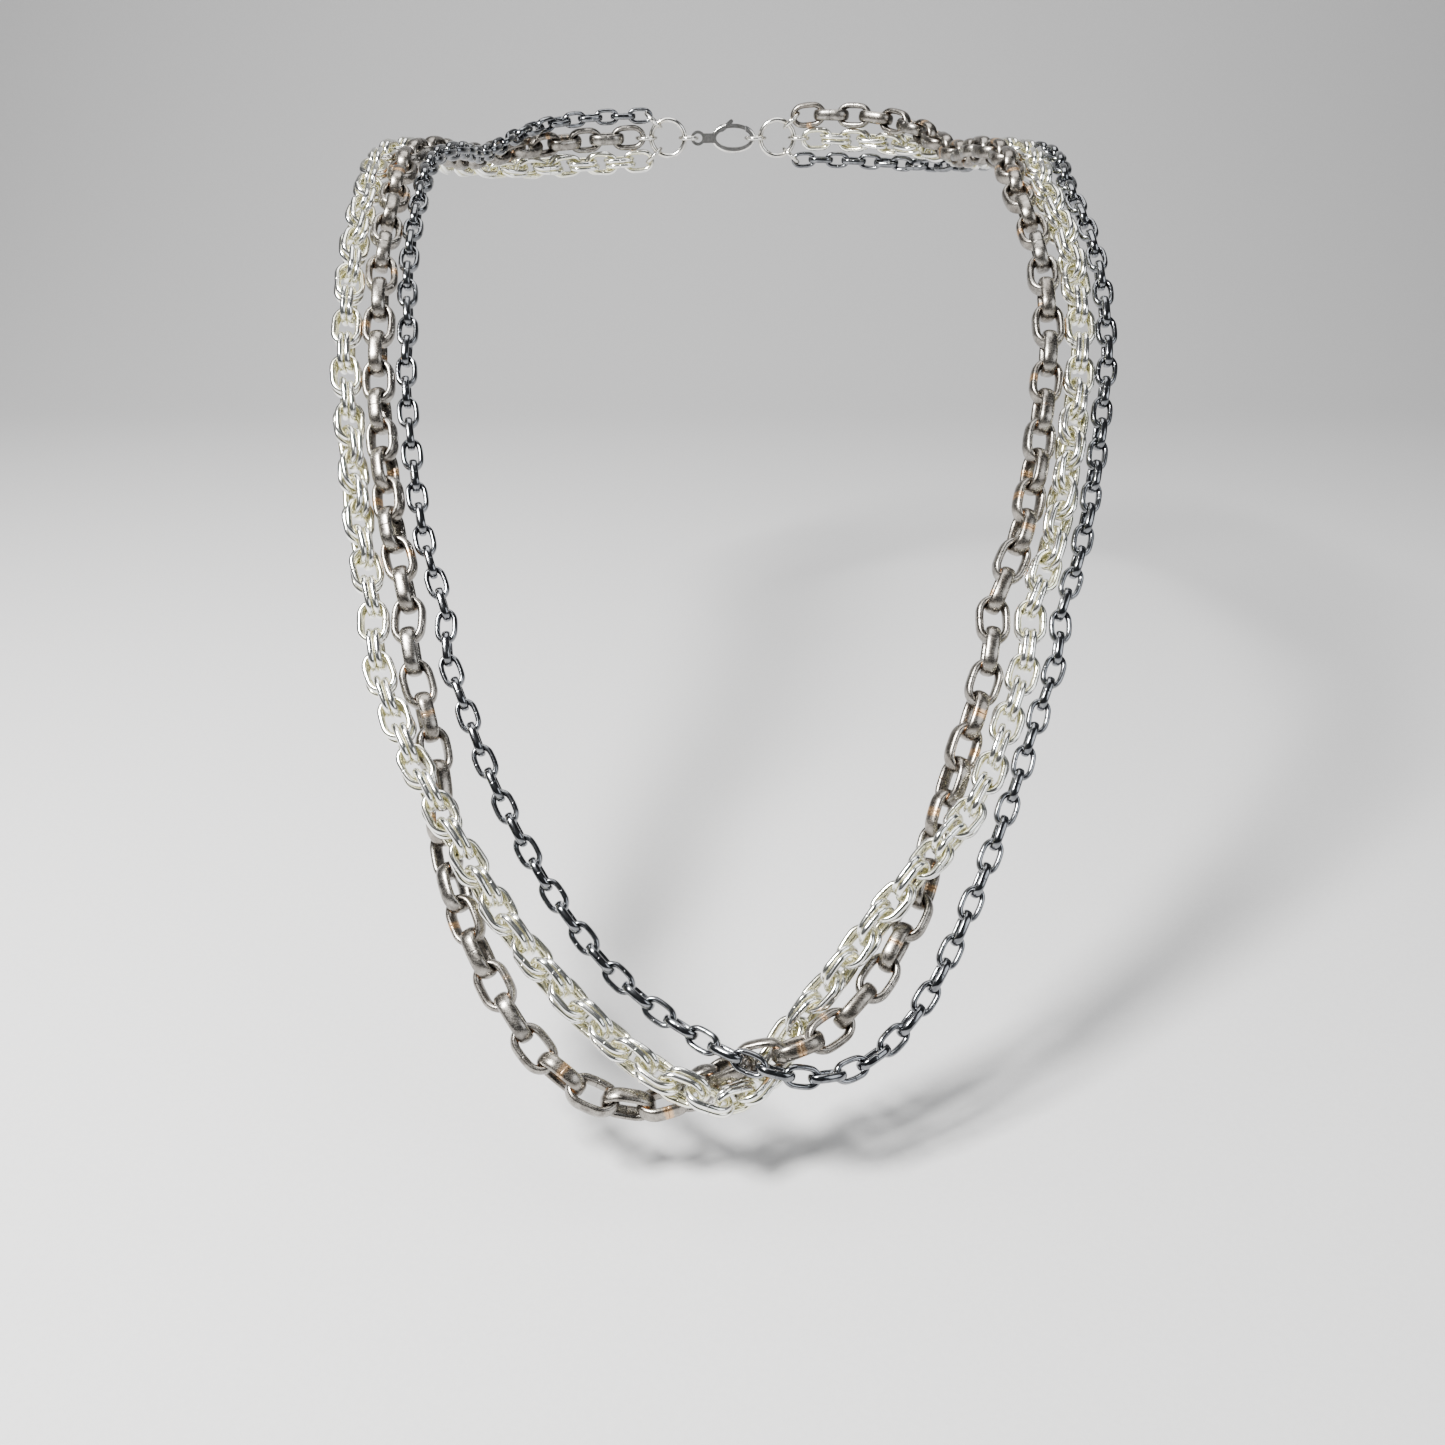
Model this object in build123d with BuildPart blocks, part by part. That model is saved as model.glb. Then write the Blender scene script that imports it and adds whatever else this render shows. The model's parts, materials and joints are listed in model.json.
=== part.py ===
# Three-strand mixed chain necklace, modelled in millimetres.
# +X is the wearer's left, +Y runs to the back of the neck, +Z is up.
# The origin is the middle of the neck opening, level with the crest of the shoulders.
import os
from math import sqrt

from build123d import *

os.makedirs("parts", exist_ok=True)

# ---------------------------------------------------------------- driving dimensions
# antique strand: wide flat-band cable links
ANT_L, ANT_W = 9.8, 6.5        # link length and width outside
ANT_A, ANT_B = 0.75, 1.35      # half the wire's radial and axial size

# double strand: pairs of round-wire ovals, one pair through the next
DBL_L, DBL_W = 8.8, 6
DBL_R = 0.62                   # wire radius

# dark strand: small flat-band cable links
DRK_L, DRK_W = 7, 4.3
DRK_A, DRK_B = 0.52, 0.75

# rings at the nape: centre-line radius and wire radius
RING_R, RING_WIRE = 2.6, 0.5         # three strand end rings a side
COLL_R, COLL_WIRE = 4.6, 0.65         # collector rings
COLL_X, COLL_Y, COLL_Z = 15, 72, -1
CLASP_RING_R, TAIL_RING_R = 2.3, 2.6
RING_CUT = 0.06                     # saw cut of a jump ring
RING_GAP = 0.08                     # play where one ring hangs in the next

# lobster clasp
CLASP_T = 2.4                       # thickness of the claw
CLAW_OUT, CLAW_IN = (6.1, 3.9), (4.72, 2.35)   # half axes of the claw's outline and opening
EYE_HOLE = 1.15                     # radius of the eye's hole
EYE_PLAY, CLAW_PLAY = 0.35, 0.80    # play of the clasp on the ring at each end
SLOT_T, LEVER_T = 1.36, 1.2         # slot between the ears, and the lever in it
PIN_R = 0.40
SPRING_R, SPRING_WIRE = 0.62, 0.10

# ---------------------------------------------------------------- where every link lies
# node: (shape, [(x, y, z, turn about the link's x, y and z in degrees), ...])
# the first link of a run hooks the last link of the run above it
LAYOUT = {
    "antique_crest_left": ("antique", [
        (-66.05, 9.81, -0.67, -6.6, 0.0, -90.6), (-66.81, 4.89, -0.24, 86.7, 78.6, -180.0), (-67.91, 0.00, -0.10, 179.9, 0.0, 107.8),
        (-69.03, -4.89, -0.24, -86.7, -79.1, 180.0), (-69.79, -9.81, -0.67, 6.6, 0.0, -90.2),
    ]),
    "antique_upper_left": ("antique", [
        (-69.70, -15.84, -1.57, -79.2, 88.6, 0.4), (-69.39, -21.87, -3.01, -165.4, -2.9, 87.5), (-69.34, -27.82, -4.79, 30.3, -80.1, -78.7),
        (-69.18, -33.60, -7.04, 23.0, 16.5, -88.9), (-69.10, -39.21, -9.70, -152.5, 70.0, 90.0), (-69.05, -44.60, -12.77, -148.6, -20.0, 89.3),
        (-68.96, -49.76, -16.22, 37.7, -73.5, -88.1), (-68.63, -54.63, -20.03, 39.4, 9.5, -84.1), (-68.39, -59.24, -24.18, -90.1, 85.3, 44.3),
        (-68.10, -63.54, -28.65, -132.0, 0.0, 90.0),
    ]),
    "antique_lower_left": ("antique", [
        (-67.93, -67.60, -33.20, -41.0, 87.6, 0.0), (-67.35, -71.67, -37.94, -130.2, 3.6, 84.1), (-66.69, -75.85, -42.69, -162.1, -76.0, 58.0),
        (-65.85, -79.97, -47.44, 52.0, -20.4, -81.5), (-64.88, -84.08, -52.16, 30.1, 63.5, -69.1), (-63.83, -88.17, -56.87, -126.6, 24.6, 79.5),
        (-62.69, -92.27, -61.57, -161.2, -66.2, 57.9), (-61.02, -96.25, -66.16, 52.3, -11.7, -71.6), (-59.53, -100.24, -70.76, -25.0, 75.4, -15.6),
        (-58.50, -104.27, -75.39, -131.0, 0.0, 90.0),
    ]),
    "antique_crest_right": ("antique", [
        (59.41, 9.81, -0.67, -6.6, 0.0, -89.8), (60.13, 4.90, -0.24, -93.3, 79.7, 0.0), (61.09, -0.01, -0.09, -179.9, 0.0, 73.0),
        (62.16, -4.89, -0.24, 93.3, -79.7, 0.0), (62.85, -9.81, -0.67, 6.6, 0.0, -89.3),
    ]),
    "antique_upper_right": ("antique", [
        (62.75, -15.84, -1.56, 100.7, 87.9, -179.6), (62.34, -21.89, -2.93, -165.2, 3.5, 93.8), (62.32, -27.82, -4.79, -163.1, -80.3, 87.8),
        (62.47, -33.61, -7.06, 25.0, -16.5, -82.6), (63.24, -39.19, -9.69, 10.3, 69.1, -71.7), (63.89, -44.57, -12.75, -146.1, 19.9, 83.5),
        (64.45, -49.72, -16.19, -159.0, -72.9, 74.5), (64.58, -54.59, -20.01, 40.1, -9.5, -91.9), (64.68, -59.22, -24.16, 52.6, 86.7, -98.3),
        (64.60, -63.54, -28.65, -132.0, 0.0, 90.0),
    ]),
    "antique_lower_right": ("antique", [
        (64.23, -67.59, -33.19, 139.0, 84.9, 180.0), (63.37, -71.79, -37.96, -129.7, -4.1, 99.8), (62.34, -75.95, -42.80, 11.8, -75.3, -128.1),
        (61.26, -80.11, -47.61, 52.7, 19.4, -101.5), (59.99, -84.31, -52.42, -154.8, 62.6, 116.5), (58.54, -88.45, -57.19, -124.8, -24.1, 105.1),
        (56.79, -92.57, -61.88, 9.7, -63.6, -131.6), (54.55, -96.46, -66.43, 53.3, 11.5, -115.4), (52.05, -100.33, -70.88, 148.5, 66.7, 171.4),
        (50.40, -104.27, -75.39, -131.0, 0.0, 91.4),
    ]),
    "antique_drop": ("antique", [
        (-57.67, -108.08, -80.04, -41.0, 78.4, 2.4), (-56.15, -111.77, -85.02, -129.3, -9.9, 72.3), (-54.38, -115.40, -90.07, 93.1, -66.2, -50.4),
        (-52.77, -118.97, -95.21, 48.1, 25.5, -75.4), (-51.61, -122.78, -100.28, -113.8, 54.8, 73.5), (-50.59, -126.77, -105.30, -136.8, -40.1, 81.2),
        (-49.61, -130.99, -109.96, 55.1, -38.6, -72.5), (-47.67, -135.72, -113.99, 16.0, 50.7, -59.3), (-45.33, -140.12, -118.12, -125.4, 24.3, 63.8),
        (-42.56, -144.35, -122.14, 170.9, -58.1, 30.9), (-39.55, -148.24, -126.31, 51.4, -7.7, -60.6), (-36.07, -151.93, -130.30, -41.4, 55.9, -0.1),
        (-32.29, -155.38, -134.23, -136.3, -6.6, 49.5), (-27.52, -157.99, -137.60, 118.0, -35.2, -14.8), (-22.17, -160.11, -140.35, 26.5, 13.7, -19.3),
        (-16.09, -160.30, -142.13, -74.3, 1.8, 12.9), (-9.88, -159.78, -142.14, -172.8, 5.7, -16.3), (-4.21, -158.14, -140.42, 83.8, 12.5, 38.8),
        (1.05, -157.33, -137.05, -10.3, -30.3, -15.3), (6.57, -157.73, -134.37, -110.2, 8.1, -13.7), (12.79, -157.32, -132.43, 154.2, 19.2, -9.5),
        (18.41, -154.54, -131.16, 49.1, 15.0, 33.5), (22.95, -150.81, -128.66, -39.7, -46.8, 9.7), (27.13, -147.03, -125.57, -141.2, 1.8, -55.1),
        (30.52, -142.85, -122.02, 108.3, 57.5, 20.1), (33.67, -138.66, -118.25, 31.4, -18.5, 62.4), (36.19, -134.22, -114.24, -103.8, -54.6, -57.0),
        (37.97, -130.21, -109.41, -140.0, 36.9, -73.2), (39.84, -126.67, -104.40, 71.4, 38.2, 68.9), (41.84, -123.31, -99.29, 28.6, -54.1, 56.6),
        (43.90, -119.80, -94.26, -117.7, -22.4, -69.0), (46.03, -116.14, -89.39, -176.6, 65.4, -39.8), (48.14, -112.24, -84.68, 52.9, 7.9, 69.8),
        (49.59, -108.20, -79.91, -41.0, -80.1, 0.0),
    ]),
    "antique_back_left": ("antique", [
        (-65.95, 15.87, -1.42, -117.5, -89.1, -18.9), (-65.74, 21.79, -2.23, 172.9, 1.7, -87.0), (-65.27, 27.71, -2.86, 45.5, 82.4, 39.2),
        (-64.47, 33.61, -3.29, -4.9, -9.7, 80.5), (-63.27, 39.46, -3.53, -143.1, -68.4, -49.7), (-61.54, 45.16, -3.55, 171.8, 24.0, -68.5),
        (-59.28, 50.67, -3.44, 33.3, 46.7, 50.5), (-56.30, 55.81, -3.15, -27.5, -37.9, 44.9), (-52.59, 60.42, -2.75, -152.6, -21.1, -42.6),
        (-48.14, 64.31, -2.28, 119.1, 34.7, -12.9), (-43.10, 67.40, -1.85, 15.1, 3.0, 26.5), (-37.60, 69.61, -1.48, -81.6, -17.6, -0.6),
        (-31.82, 71.02, -1.21, -176.3, 1.4, -9.9), (-25.93, 71.73, -0.91, 90.9, 3.7, 3.5),
    ]),
    "antique_back_right": ("antique", [
        (59.35, 15.87, -1.38, 59.0, -89.1, 157.1), (59.12, 22.14, -2.05, 176.1, 5.3, -93.0), (58.65, 28.43, -2.27, -33.3, 79.7, 124.0),
        (57.85, 34.68, -2.01, 6.0, -8.9, 98.8), (56.71, 40.84, -1.29, 127.8, -76.2, -151.6), (55.15, 46.86, -0.20, -167.6, 1.5, -106.3),
        (53.03, 52.65, 1.12, -90.0, 66.4, -167.4), (50.19, 58.10, 2.42, 6.6, 10.3, 122.2), (46.27, 62.81, 3.55, 78.6, -43.0, 163.3),
        (41.46, 66.62, 4.30, 174.4, -9.3, -151.2), (35.76, 69.20, 4.84, -98.8, 18.7, -175.9), (29.67, 70.86, 4.88, -4.1, 1.1, 168.7),
        (23.42, 71.68, 4.84, 91.5, -4.5, -173.4),
    ]),
    "double_crest_left": ("double", [
        (-72.45, 10.11, -1.35, -6.9, 0.0, -92.3), (-72.45, 10.27, -0.05, -6.9, 0.0, -92.3), (-73.80, 5.43, -0.26, 86.7, 76.1, 177.3),
        (-72.62, 4.78, -0.22, 86.6, 76.0, -177.5), (-74.59, -0.27, 0.59, 179.9, 0.6, 109.8), (-74.39, 0.39, -0.75, -179.9, -0.3, 101.1),
        (-74.87, -5.32, -0.25, -86.6, -80.7, -177.5), (-76.11, -4.77, -0.22, -86.6, -80.7, 177.5), (-76.03, -10.11, -1.35, 6.9, 0.0, -91.0),
        (-76.03, -10.26, -0.05, 6.9, 0.0, -91.0),
    ]),
    "double_upper_left": ("double", [
        (-76.61, -15.70, -1.53, -79.4, 87.8, 0.3), (-75.30, -15.65, -1.52, -79.4, 87.8, 0.3), (-75.80, -20.71, -2.01, -164.7, -5.4, 85.0),
        (-75.83, -20.68, -3.35, -164.9, -5.4, 88.9), (-74.85, -25.82, -4.26, 30.7, -73.6, -72.6), (-76.14, -25.38, -3.75, 30.7, -73.6, -81.0),
        (-75.56, -30.54, -6.42, 20.3, 29.0, -83.3), (-74.95, -30.31, -5.12, 20.3, 29.0, -91.4), (-75.69, -35.04, -7.16, -152.3, 50.4, 82.1),
        (-74.65, -35.26, -8.17, -151.9, 50.3, 92.2), (-74.64, -39.68, -9.41, -151.6, -45.1, 85.2), (-75.57, -39.86, -10.54, -151.9, -45.1, 95.1),
        (-74.63, -44.28, -13.08, 31.6, -45.1, -85.0), (-75.56, -44.17, -11.94, 31.4, -45.0, -95.0), (-75.47, -48.52, -15.93, 34.4, 40.2, -84.2),
        (-74.64, -48.52, -14.71, 34.7, 40.2, -94.4), (-75.55, -52.58, -18.01, -134.3, 61.6, 79.0), (-74.33, -52.69, -18.84, -135.5, 61.5, 88.4),
        (-74.64, -56.76, -20.93, -138.3, -17.0, 82.3), (-74.95, -56.37, -22.29, -137.9, -17.2, 90.1), (-73.85, -60.35, -25.34, 64.7, -85.0, -67.9),
        (-75.17, -60.20, -25.04, 64.7, -85.0, -72.9), (-74.40, -63.31, -29.35, 48.1, 0.0, -90.0), (-74.40, -64.29, -28.48, 48.1, 0.0, -90.0),
    ]),
    "double_lower_left": ("double", [
        (-74.80, -67.51, -33.10, -41.0, 86.2, 0.0), (-73.49, -67.45, -33.03, -41.0, 86.2, 0.0), (-73.84, -71.28, -36.49, -129.9, -5.6, 82.3),
        (-73.81, -70.48, -37.57, -130.1, -5.5, 85.7), (-72.49, -74.32, -41.17, 76.5, -71.9, -58.5), (-73.82, -74.29, -40.56, 76.5, -71.9, -66.0),
        (-72.71, -77.44, -45.45, 45.9, 28.6, -77.2), (-72.18, -77.84, -44.16, 45.9, 28.6, -84.9), (-72.27, -81.22, -48.20, -118.7, 49.4, 71.0),
        (-71.15, -80.90, -49.06, -118.7, 49.4, 81.4), (-70.51, -84.51, -51.96, -139.4, -44.6, 72.5), (-71.32, -84.35, -53.16, -139.4, -44.6, 82.0),
        (-69.58, -87.63, -56.93, 58.7, -44.2, -71.7), (-70.62, -87.98, -55.96, 58.9, -44.2, -81.2), (-69.56, -91.07, -60.96, 40.7, 39.7, -71.8),
        (-68.85, -91.28, -59.68, 40.4, 39.7, -81.7), (-68.78, -94.61, -63.91, -105.0, 58.5, 58.1), (-67.47, -94.40, -64.56, -106.5, 58.8, 67.5),
        (-66.87, -98.12, -67.26, -133.6, -17.0, 71.1), (-67.10, -97.62, -68.62, -133.3, -17.2, 78.5), (-65.03, -101.14, -71.87, 120.1, -75.4, -15.8),
        (-66.38, -101.20, -71.78, 120.1, -75.4, -20.9), (-65.04, -104.03, -76.11, 49.0, 0.0, -86.3), (-65.04, -105.02, -75.25, 49.0, 0.0, -86.3),
    ]),
    "double_crest_right": ("double", [
        (65.84, 10.11, -1.35, -6.9, 0.0, -87.8), (65.84, 10.27, -0.05, -6.9, 0.0, -87.8), (65.82, 5.13, -0.24, -93.4, 77.8, -2.5),
        (67.17, 5.07, -0.24, -93.4, 77.8, 2.5), (67.69, -0.31, 0.58, 180.0, -0.1, 81.1), (67.53, 0.38, -0.74, 179.9, 0.2, 71.7),
        (69.28, -5.13, -0.24, 93.4, -80.9, 2.5), (67.93, -4.99, -0.23, 93.4, -80.9, -2.5), (69.11, -10.11, -1.35, 6.9, 0.0, -88.6),
        (69.11, -10.26, -0.05, 6.9, 0.0, -88.6),
    ]),
    "double_upper_right": ("double", [
        (68.30, -15.63, -1.51, 100.6, 86.3, -179.7), (69.61, -15.71, -1.53, 100.6, 86.3, -179.7), (68.73, -20.69, -1.99, -163.9, -4.5, 92.5),
        (68.72, -20.67, -3.37, -164.5, -4.3, 96.0), (68.97, -25.88, -4.30, 13.3, -74.0, -90.4), (67.74, -25.33, -3.74, 13.3, -74.0, -99.2),
        (68.09, -30.56, -6.42, 19.4, 29.9, -81.7), (68.65, -30.32, -5.10, 19.4, 29.9, -90.9), (68.20, -35.08, -7.21, -147.6, 49.9, 75.1),
        (69.28, -35.22, -8.16, -147.2, 49.7, 85.4), (69.67, -39.63, -9.38, -158.4, -44.8, 75.6), (68.83, -39.88, -10.54, -158.4, -44.8, 85.2),
        (70.35, -44.20, -13.03, 37.9, -44.6, -76.0), (69.34, -44.19, -11.95, 37.9, -44.6, -85.7), (69.97, -48.51, -15.92, 30.6, 40.1, -78.4),
        (70.75, -48.45, -14.66, 30.9, 40.1, -88.6), (70.11, -52.55, -17.99, -134.3, 61.5, 79.1), (71.34, -52.66, -18.79, -135.7, 61.5, 88.2),
        (70.94, -56.72, -20.90, -137.2, -17.5, 86.5), (70.64, -56.34, -22.28, -136.7, -17.7, 94.8), (71.45, -60.35, -25.34, 45.2, -85.3, -87.5),
        (70.15, -60.18, -25.02, 45.2, -85.3, -92.5), (70.80, -63.31, -29.35, 48.1, 0.0, -90.0), (70.80, -64.29, -28.48, 48.1, 0.0, -90.0),
    ]),
    "double_lower_right": ("double", [
        (69.78, -67.43, -33.01, 139.0, 84.4, 180.0), (71.09, -67.52, -33.11, 139.0, 84.4, 180.0), (69.96, -71.33, -36.56, -128.5, -4.7, 96.6),
        (69.92, -70.51, -37.63, -128.8, -4.7, 99.9), (69.48, -74.50, -41.40, 20.8, -71.3, -116.3), (68.36, -74.24, -40.51, 20.8, -71.3, -123.5),
        (67.69, -77.48, -45.52, 55.2, 27.8, -97.8), (68.40, -78.01, -44.39, 55.2, 27.8, -104.1), (66.64, -81.27, -48.27, -140.3, 50.3, 99.4),
        (67.59, -81.17, -49.34, -140.2, 50.2, 110.2), (66.62, -84.84, -52.35, -117.8, -43.8, 102.6), (65.57, -84.43, -53.25, -117.8, -43.8, 112.0),
        (65.36, -87.97, -57.30, 36.8, -43.9, -103.5), (64.58, -88.10, -56.09, 36.8, -43.9, -113.0), (63.21, -91.19, -61.09, 61.7, 38.4, -104.0),
        (64.20, -91.66, -60.13, 61.8, 38.4, -114.1), (61.75, -94.67, -63.98, -158.2, 58.2, 119.2), (62.72, -94.85, -65.05, -158.7, 58.0, 127.0),
        (60.79, -98.38, -67.60, -123.2, -15.3, 109.1), (60.17, -97.71, -68.74, -122.9, -15.3, 115.7), (59.06, -101.50, -72.29, -29.7, -67.3, -167.2),
        (58.00, -101.03, -71.60, -29.6, -67.4, -172.5), (57.33, -104.03, -76.11, 49.0, 0.0, -95.0), (57.33, -105.02, -75.25, 49.0, 0.0, -95.0),
    ]),
    "double_drop": ("double", [
        (-64.76, -108.30, -79.82, -41.0, 79.5, -2.1), (-63.47, -108.15, -79.64, -41.0, 79.5, -2.1), (-63.02, -111.92, -82.53, -135.9, 1.6, 67.7),
        (-63.04, -111.27, -83.73, -135.8, 1.9, 76.3), (-60.47, -115.05, -86.40, 135.3, -68.2, 7.3), (-61.95, -114.91, -86.30, 135.3, -68.2, -2.7),
        (-59.12, -118.19, -90.16, 41.9, 0.1, -61.0), (-59.40, -118.59, -88.76, 41.9, 0.1, -71.0), (-57.91, -121.77, -92.57, -61.4, 64.3, 8.8),
        (-56.47, -121.78, -92.50, -61.7, 64.7, 17.2), (-54.93, -125.09, -94.96, -137.7, -5.4, 56.4), (-54.80, -124.64, -96.34, -137.4, -5.6, 65.1),
        (-51.63, -127.99, -98.65, 116.8, -60.0, -10.3), (-53.20, -128.17, -98.54, 111.5, -60.0, -23.7), (-49.90, -130.55, -102.73, 42.9, 12.7, -53.1),
        (-49.92, -131.03, -101.36, 42.9, 12.7, -62.9), (-47.94, -134.05, -104.99, -74.6, 51.4, 24.6), (-46.39, -133.36, -105.33, -66.0, 55.1, 31.3),
        (-44.59, -136.19, -108.16, -134.5, -24.0, 52.0), (-44.88, -135.62, -109.48, -133.7, -24.8, 60.7), (-41.37, -137.94, -112.63, 101.6, -48.1, -31.8),
        (-42.72, -138.48, -112.31, 101.6, -48.1, -41.8), (-39.31, -140.33, -116.62, 36.5, 25.3, -46.3), (-39.15, -140.70, -115.20, 36.5, 25.3, -56.3),
        (-36.94, -143.20, -119.02, -84.2, 41.5, 30.7), (-35.65, -142.57, -119.37, -84.5, 41.6, 40.8), (-33.08, -145.37, -121.52, -153.5, -26.5, 39.3),
        (-33.22, -145.19, -122.98, -153.5, -26.6, 49.3), (-29.24, -147.34, -125.34, 90.7, -36.1, -28.9), (-30.48, -148.06, -124.96, 90.7, -36.1, -38.9),
        (-26.50, -150.10, -128.64, 18.3, 26.5, -33.0), (-26.41, -150.14, -127.16, 18.3, 26.5, -43.0), (-23.44, -152.93, -130.22, -92.5, 31.8, 25.1),
        (-22.24, -152.16, -130.58, -92.7, 32.0, 34.8), (-19.10, -154.87, -131.91, -169.4, -22.9, 28.8), (-19.09, -154.99, -133.38, -169.3, -23.3, 38.8),
        (-14.55, -156.93, -134.74, 86.2, -29.1, -17.7), (-15.75, -157.75, -134.42, 86.2, -29.1, -27.7), (-10.94, -159.76, -136.96, 5.6, 16.2, -24.1),
        (-11.12, -159.51, -135.51, 5.8, 16.6, -33.4), (-7.17, -162.09, -137.69, -92.1, 16.4, 13.3), (-6.02, -161.05, -137.45, -92.9, 15.5, 20.4),
        (-2.34, -162.99, -138.52, 178.8, -20.6, 2.2), (-2.11, -162.31, -139.99, -177.0, -18.3, 5.2), (2.06, -160.17, -140.50, 100.8, 30.3, -7.8),
        (2.25, -161.65, -140.25, 99.0, 29.5, -18.1), (6.24, -157.88, -140.21, 5.1, -21.2, 51.6), (5.34, -158.33, -139.19, 4.7, -20.8, 49.3),
        (9.36, -155.29, -137.95, -106.4, -31.2, -54.3), (8.38, -154.22, -137.57, -104.4, -32.8, -43.0), (10.62, -152.39, -134.36, -144.8, 25.1, -53.3),
        (12.35, -152.05, -134.87, -147.4, 33.9, -46.1), (14.24, -149.78, -130.56, 91.0, 30.0, 49.5), (14.53, -151.12, -131.09, 91.3, 29.5, 40.1),
        (17.97, -148.10, -127.51, 24.3, -34.9, 40.6), (16.85, -149.03, -127.04, 24.6, -34.9, 34.2), (20.78, -147.29, -124.23, -88.1, -35.4, -45.4),
        (20.45, -145.94, -123.73, -88.0, -35.1, -35.6), (23.15, -144.98, -120.37, -149.8, 29.7, -50.0), (24.23, -144.11, -120.89, -150.1, 29.6, -40.1),
        (26.57, -141.72, -117.03, 97.5, 39.5, 42.0), (26.98, -143.02, -117.63, 97.5, 39.5, 32.0), (30.43, -139.79, -114.34, 34.4, -24.3, 50.2),
        (29.45, -140.75, -113.80, 34.3, -24.3, 40.1), (33.35, -139.02, -110.91, -74.6, -43.4, -30.4), (32.69, -137.74, -110.25, -69.3, -45.2, -28.8),
        (36.22, -136.52, -107.64, -146.2, 15.0, -48.5), (37.01, -135.56, -108.35, -146.2, 15.0, -40.1), (39.79, -133.19, -104.62, 100.3, 46.1, 23.9),
        (40.45, -134.14, -105.86, 107.5, 45.6, 16.0), (43.55, -130.16, -103.08, 37.4, -6.5, 55.9), (42.87, -131.20, -102.33, 37.5, -6.8, 48.7),
        (46.27, -127.97, -100.24, -61.4, -59.7, -15.4), (45.48, -126.96, -99.52, -61.5, -59.3, -6.1), (48.00, -124.87, -96.64, -139.8, 5.0, -70.3),
        (48.38, -123.57, -97.22, -140.0, 5.4, -62.5), (49.68, -120.45, -93.37, 125.0, 68.4, 13.7), (50.64, -121.31, -94.11, 125.0, 68.4, 3.7),
        (51.98, -116.88, -90.60, 46.3, -1.7, 76.2), (51.78, -118.25, -90.07, 44.2, -1.8, 68.0), (54.06, -114.79, -87.30, -45.1, -70.5, -7.6),
        (53.05, -114.03, -86.50, -45.1, -70.5, 2.4), (55.21, -111.88, -83.07, -131.8, 0.1, -71.8), (55.39, -110.68, -83.72, -131.7, 0.5, -68.7),
        (55.73, -108.02, -79.71, 139.0, 80.4, 0.0), (57.02, -108.17, -79.87, 139.0, 80.4, 0.0),
    ]),
    "double_back_left": ("double", [
        (-71.60, 15.69, -1.43, -113.8, -89.2, -14.7), (-72.91, 15.70, -1.43, -113.8, -89.2, -14.7), (-72.13, 20.63, -1.56, 170.9, 1.0, -90.0),
        (-72.09, 20.77, -2.90, 170.9, 1.0, -85.0), (-72.41, 26.09, -3.12, 49.7, 84.4, 36.2), (-71.16, 25.31, -2.93, 49.7, 84.4, 26.2),
        (-71.12, 30.91, -4.51, -9.8, -5.8, 87.4), (-71.36, 30.46, -3.12, -10.1, -5.8, 77.6), (-69.83, 35.17, -4.39, -140.3, -75.7, -45.6),
        (-70.97, 36.04, -4.74, -141.4, -75.9, -36.3), (-69.50, 40.32, -4.67, 166.7, 13.9, -79.3), (-68.99, 40.68, -6.00, 167.0, 14.1, -69.1),
        (-68.15, 45.73, -6.29, 35.1, 62.3, 47.5), (-67.22, 44.74, -5.71, 35.4, 62.0, 37.7), (-65.26, 49.95, -7.29, -20.4, -23.5, 65.3),
        (-66.08, 49.78, -6.08, -21.1, -23.4, 56.2), (-62.86, 53.62, -6.75, -147.5, -45.1, -45.3), (-63.42, 54.69, -7.59, -147.9, -45.2, -35.2),
        (-60.61, 58.28, -7.18, 142.7, 29.4, -45.3), (-59.51, 58.09, -8.13, 142.8, 29.7, -35.0), (-56.57, 62.22, -8.40, 28.1, 25.4, 38.0),
        (-56.51, 61.21, -7.34, 28.2, 25.1, 28.9), (-51.88, 64.42, -8.37, -57.5, -27.6, 22.3), (-53.06, 65.05, -7.76, -57.7, -27.4, 13.2),
        (-48.29, 66.78, -7.38, -160.1, -9.3, -28.6), (-47.90, 67.52, -8.59, -160.3, -9.5, -18.2), (-43.85, 69.47, -7.77, 105.1, 16.2, -7.9),
        (-42.83, 68.45, -8.06, 105.0, 16.5, 2.5), (-38.16, 70.44, -8.33, 9.8, 0.2, 16.1), (-38.82, 70.06, -7.07, 9.7, -0.2, 6.6),
        (-33.04, 70.48, -7.53, -84.7, -7.6, 3.1), (-33.91, 71.68, -7.44, -84.7, -7.6, -6.9), (-28.65, 71.56, -6.58, -177.3, 3.0, -7.0),
        (-28.24, 71.65, -7.87, -177.3, 3.0, -2.0), (-23.32, 72.57, -6.98, 89.9, 1.3, 4.9), (-23.30, 71.19, -6.97, 91.4, 2.0, 4.7),
    ]),
    "double_back_right": ("double", [
        (66.31, 15.71, -1.41, 63.3, -89.2, 162.1), (65.00, 15.69, -1.40, 63.3, -89.2, 162.1), (65.54, 20.75, -1.45, 172.7, -1.4, -94.8),
        (65.49, 20.93, -2.79, 172.7, -1.3, -90.0), (64.50, 26.28, -2.69, -133.6, 83.9, -137.2), (65.86, 25.70, -2.73, -132.5, 83.8, -148.4),
        (64.51, 31.40, -3.81, -5.2, 7.3, 102.6), (64.76, 30.83, -2.47, -5.0, 7.3, 92.5), (64.45, 36.08, -3.60, 40.1, -71.9, 129.2),
        (63.07, 36.46, -3.28, 39.0, -72.4, 137.5), (62.98, 41.02, -2.91, 173.4, -18.1, -110.8), (62.44, 41.50, -4.19, 172.9, -17.8, -101.9),
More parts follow.
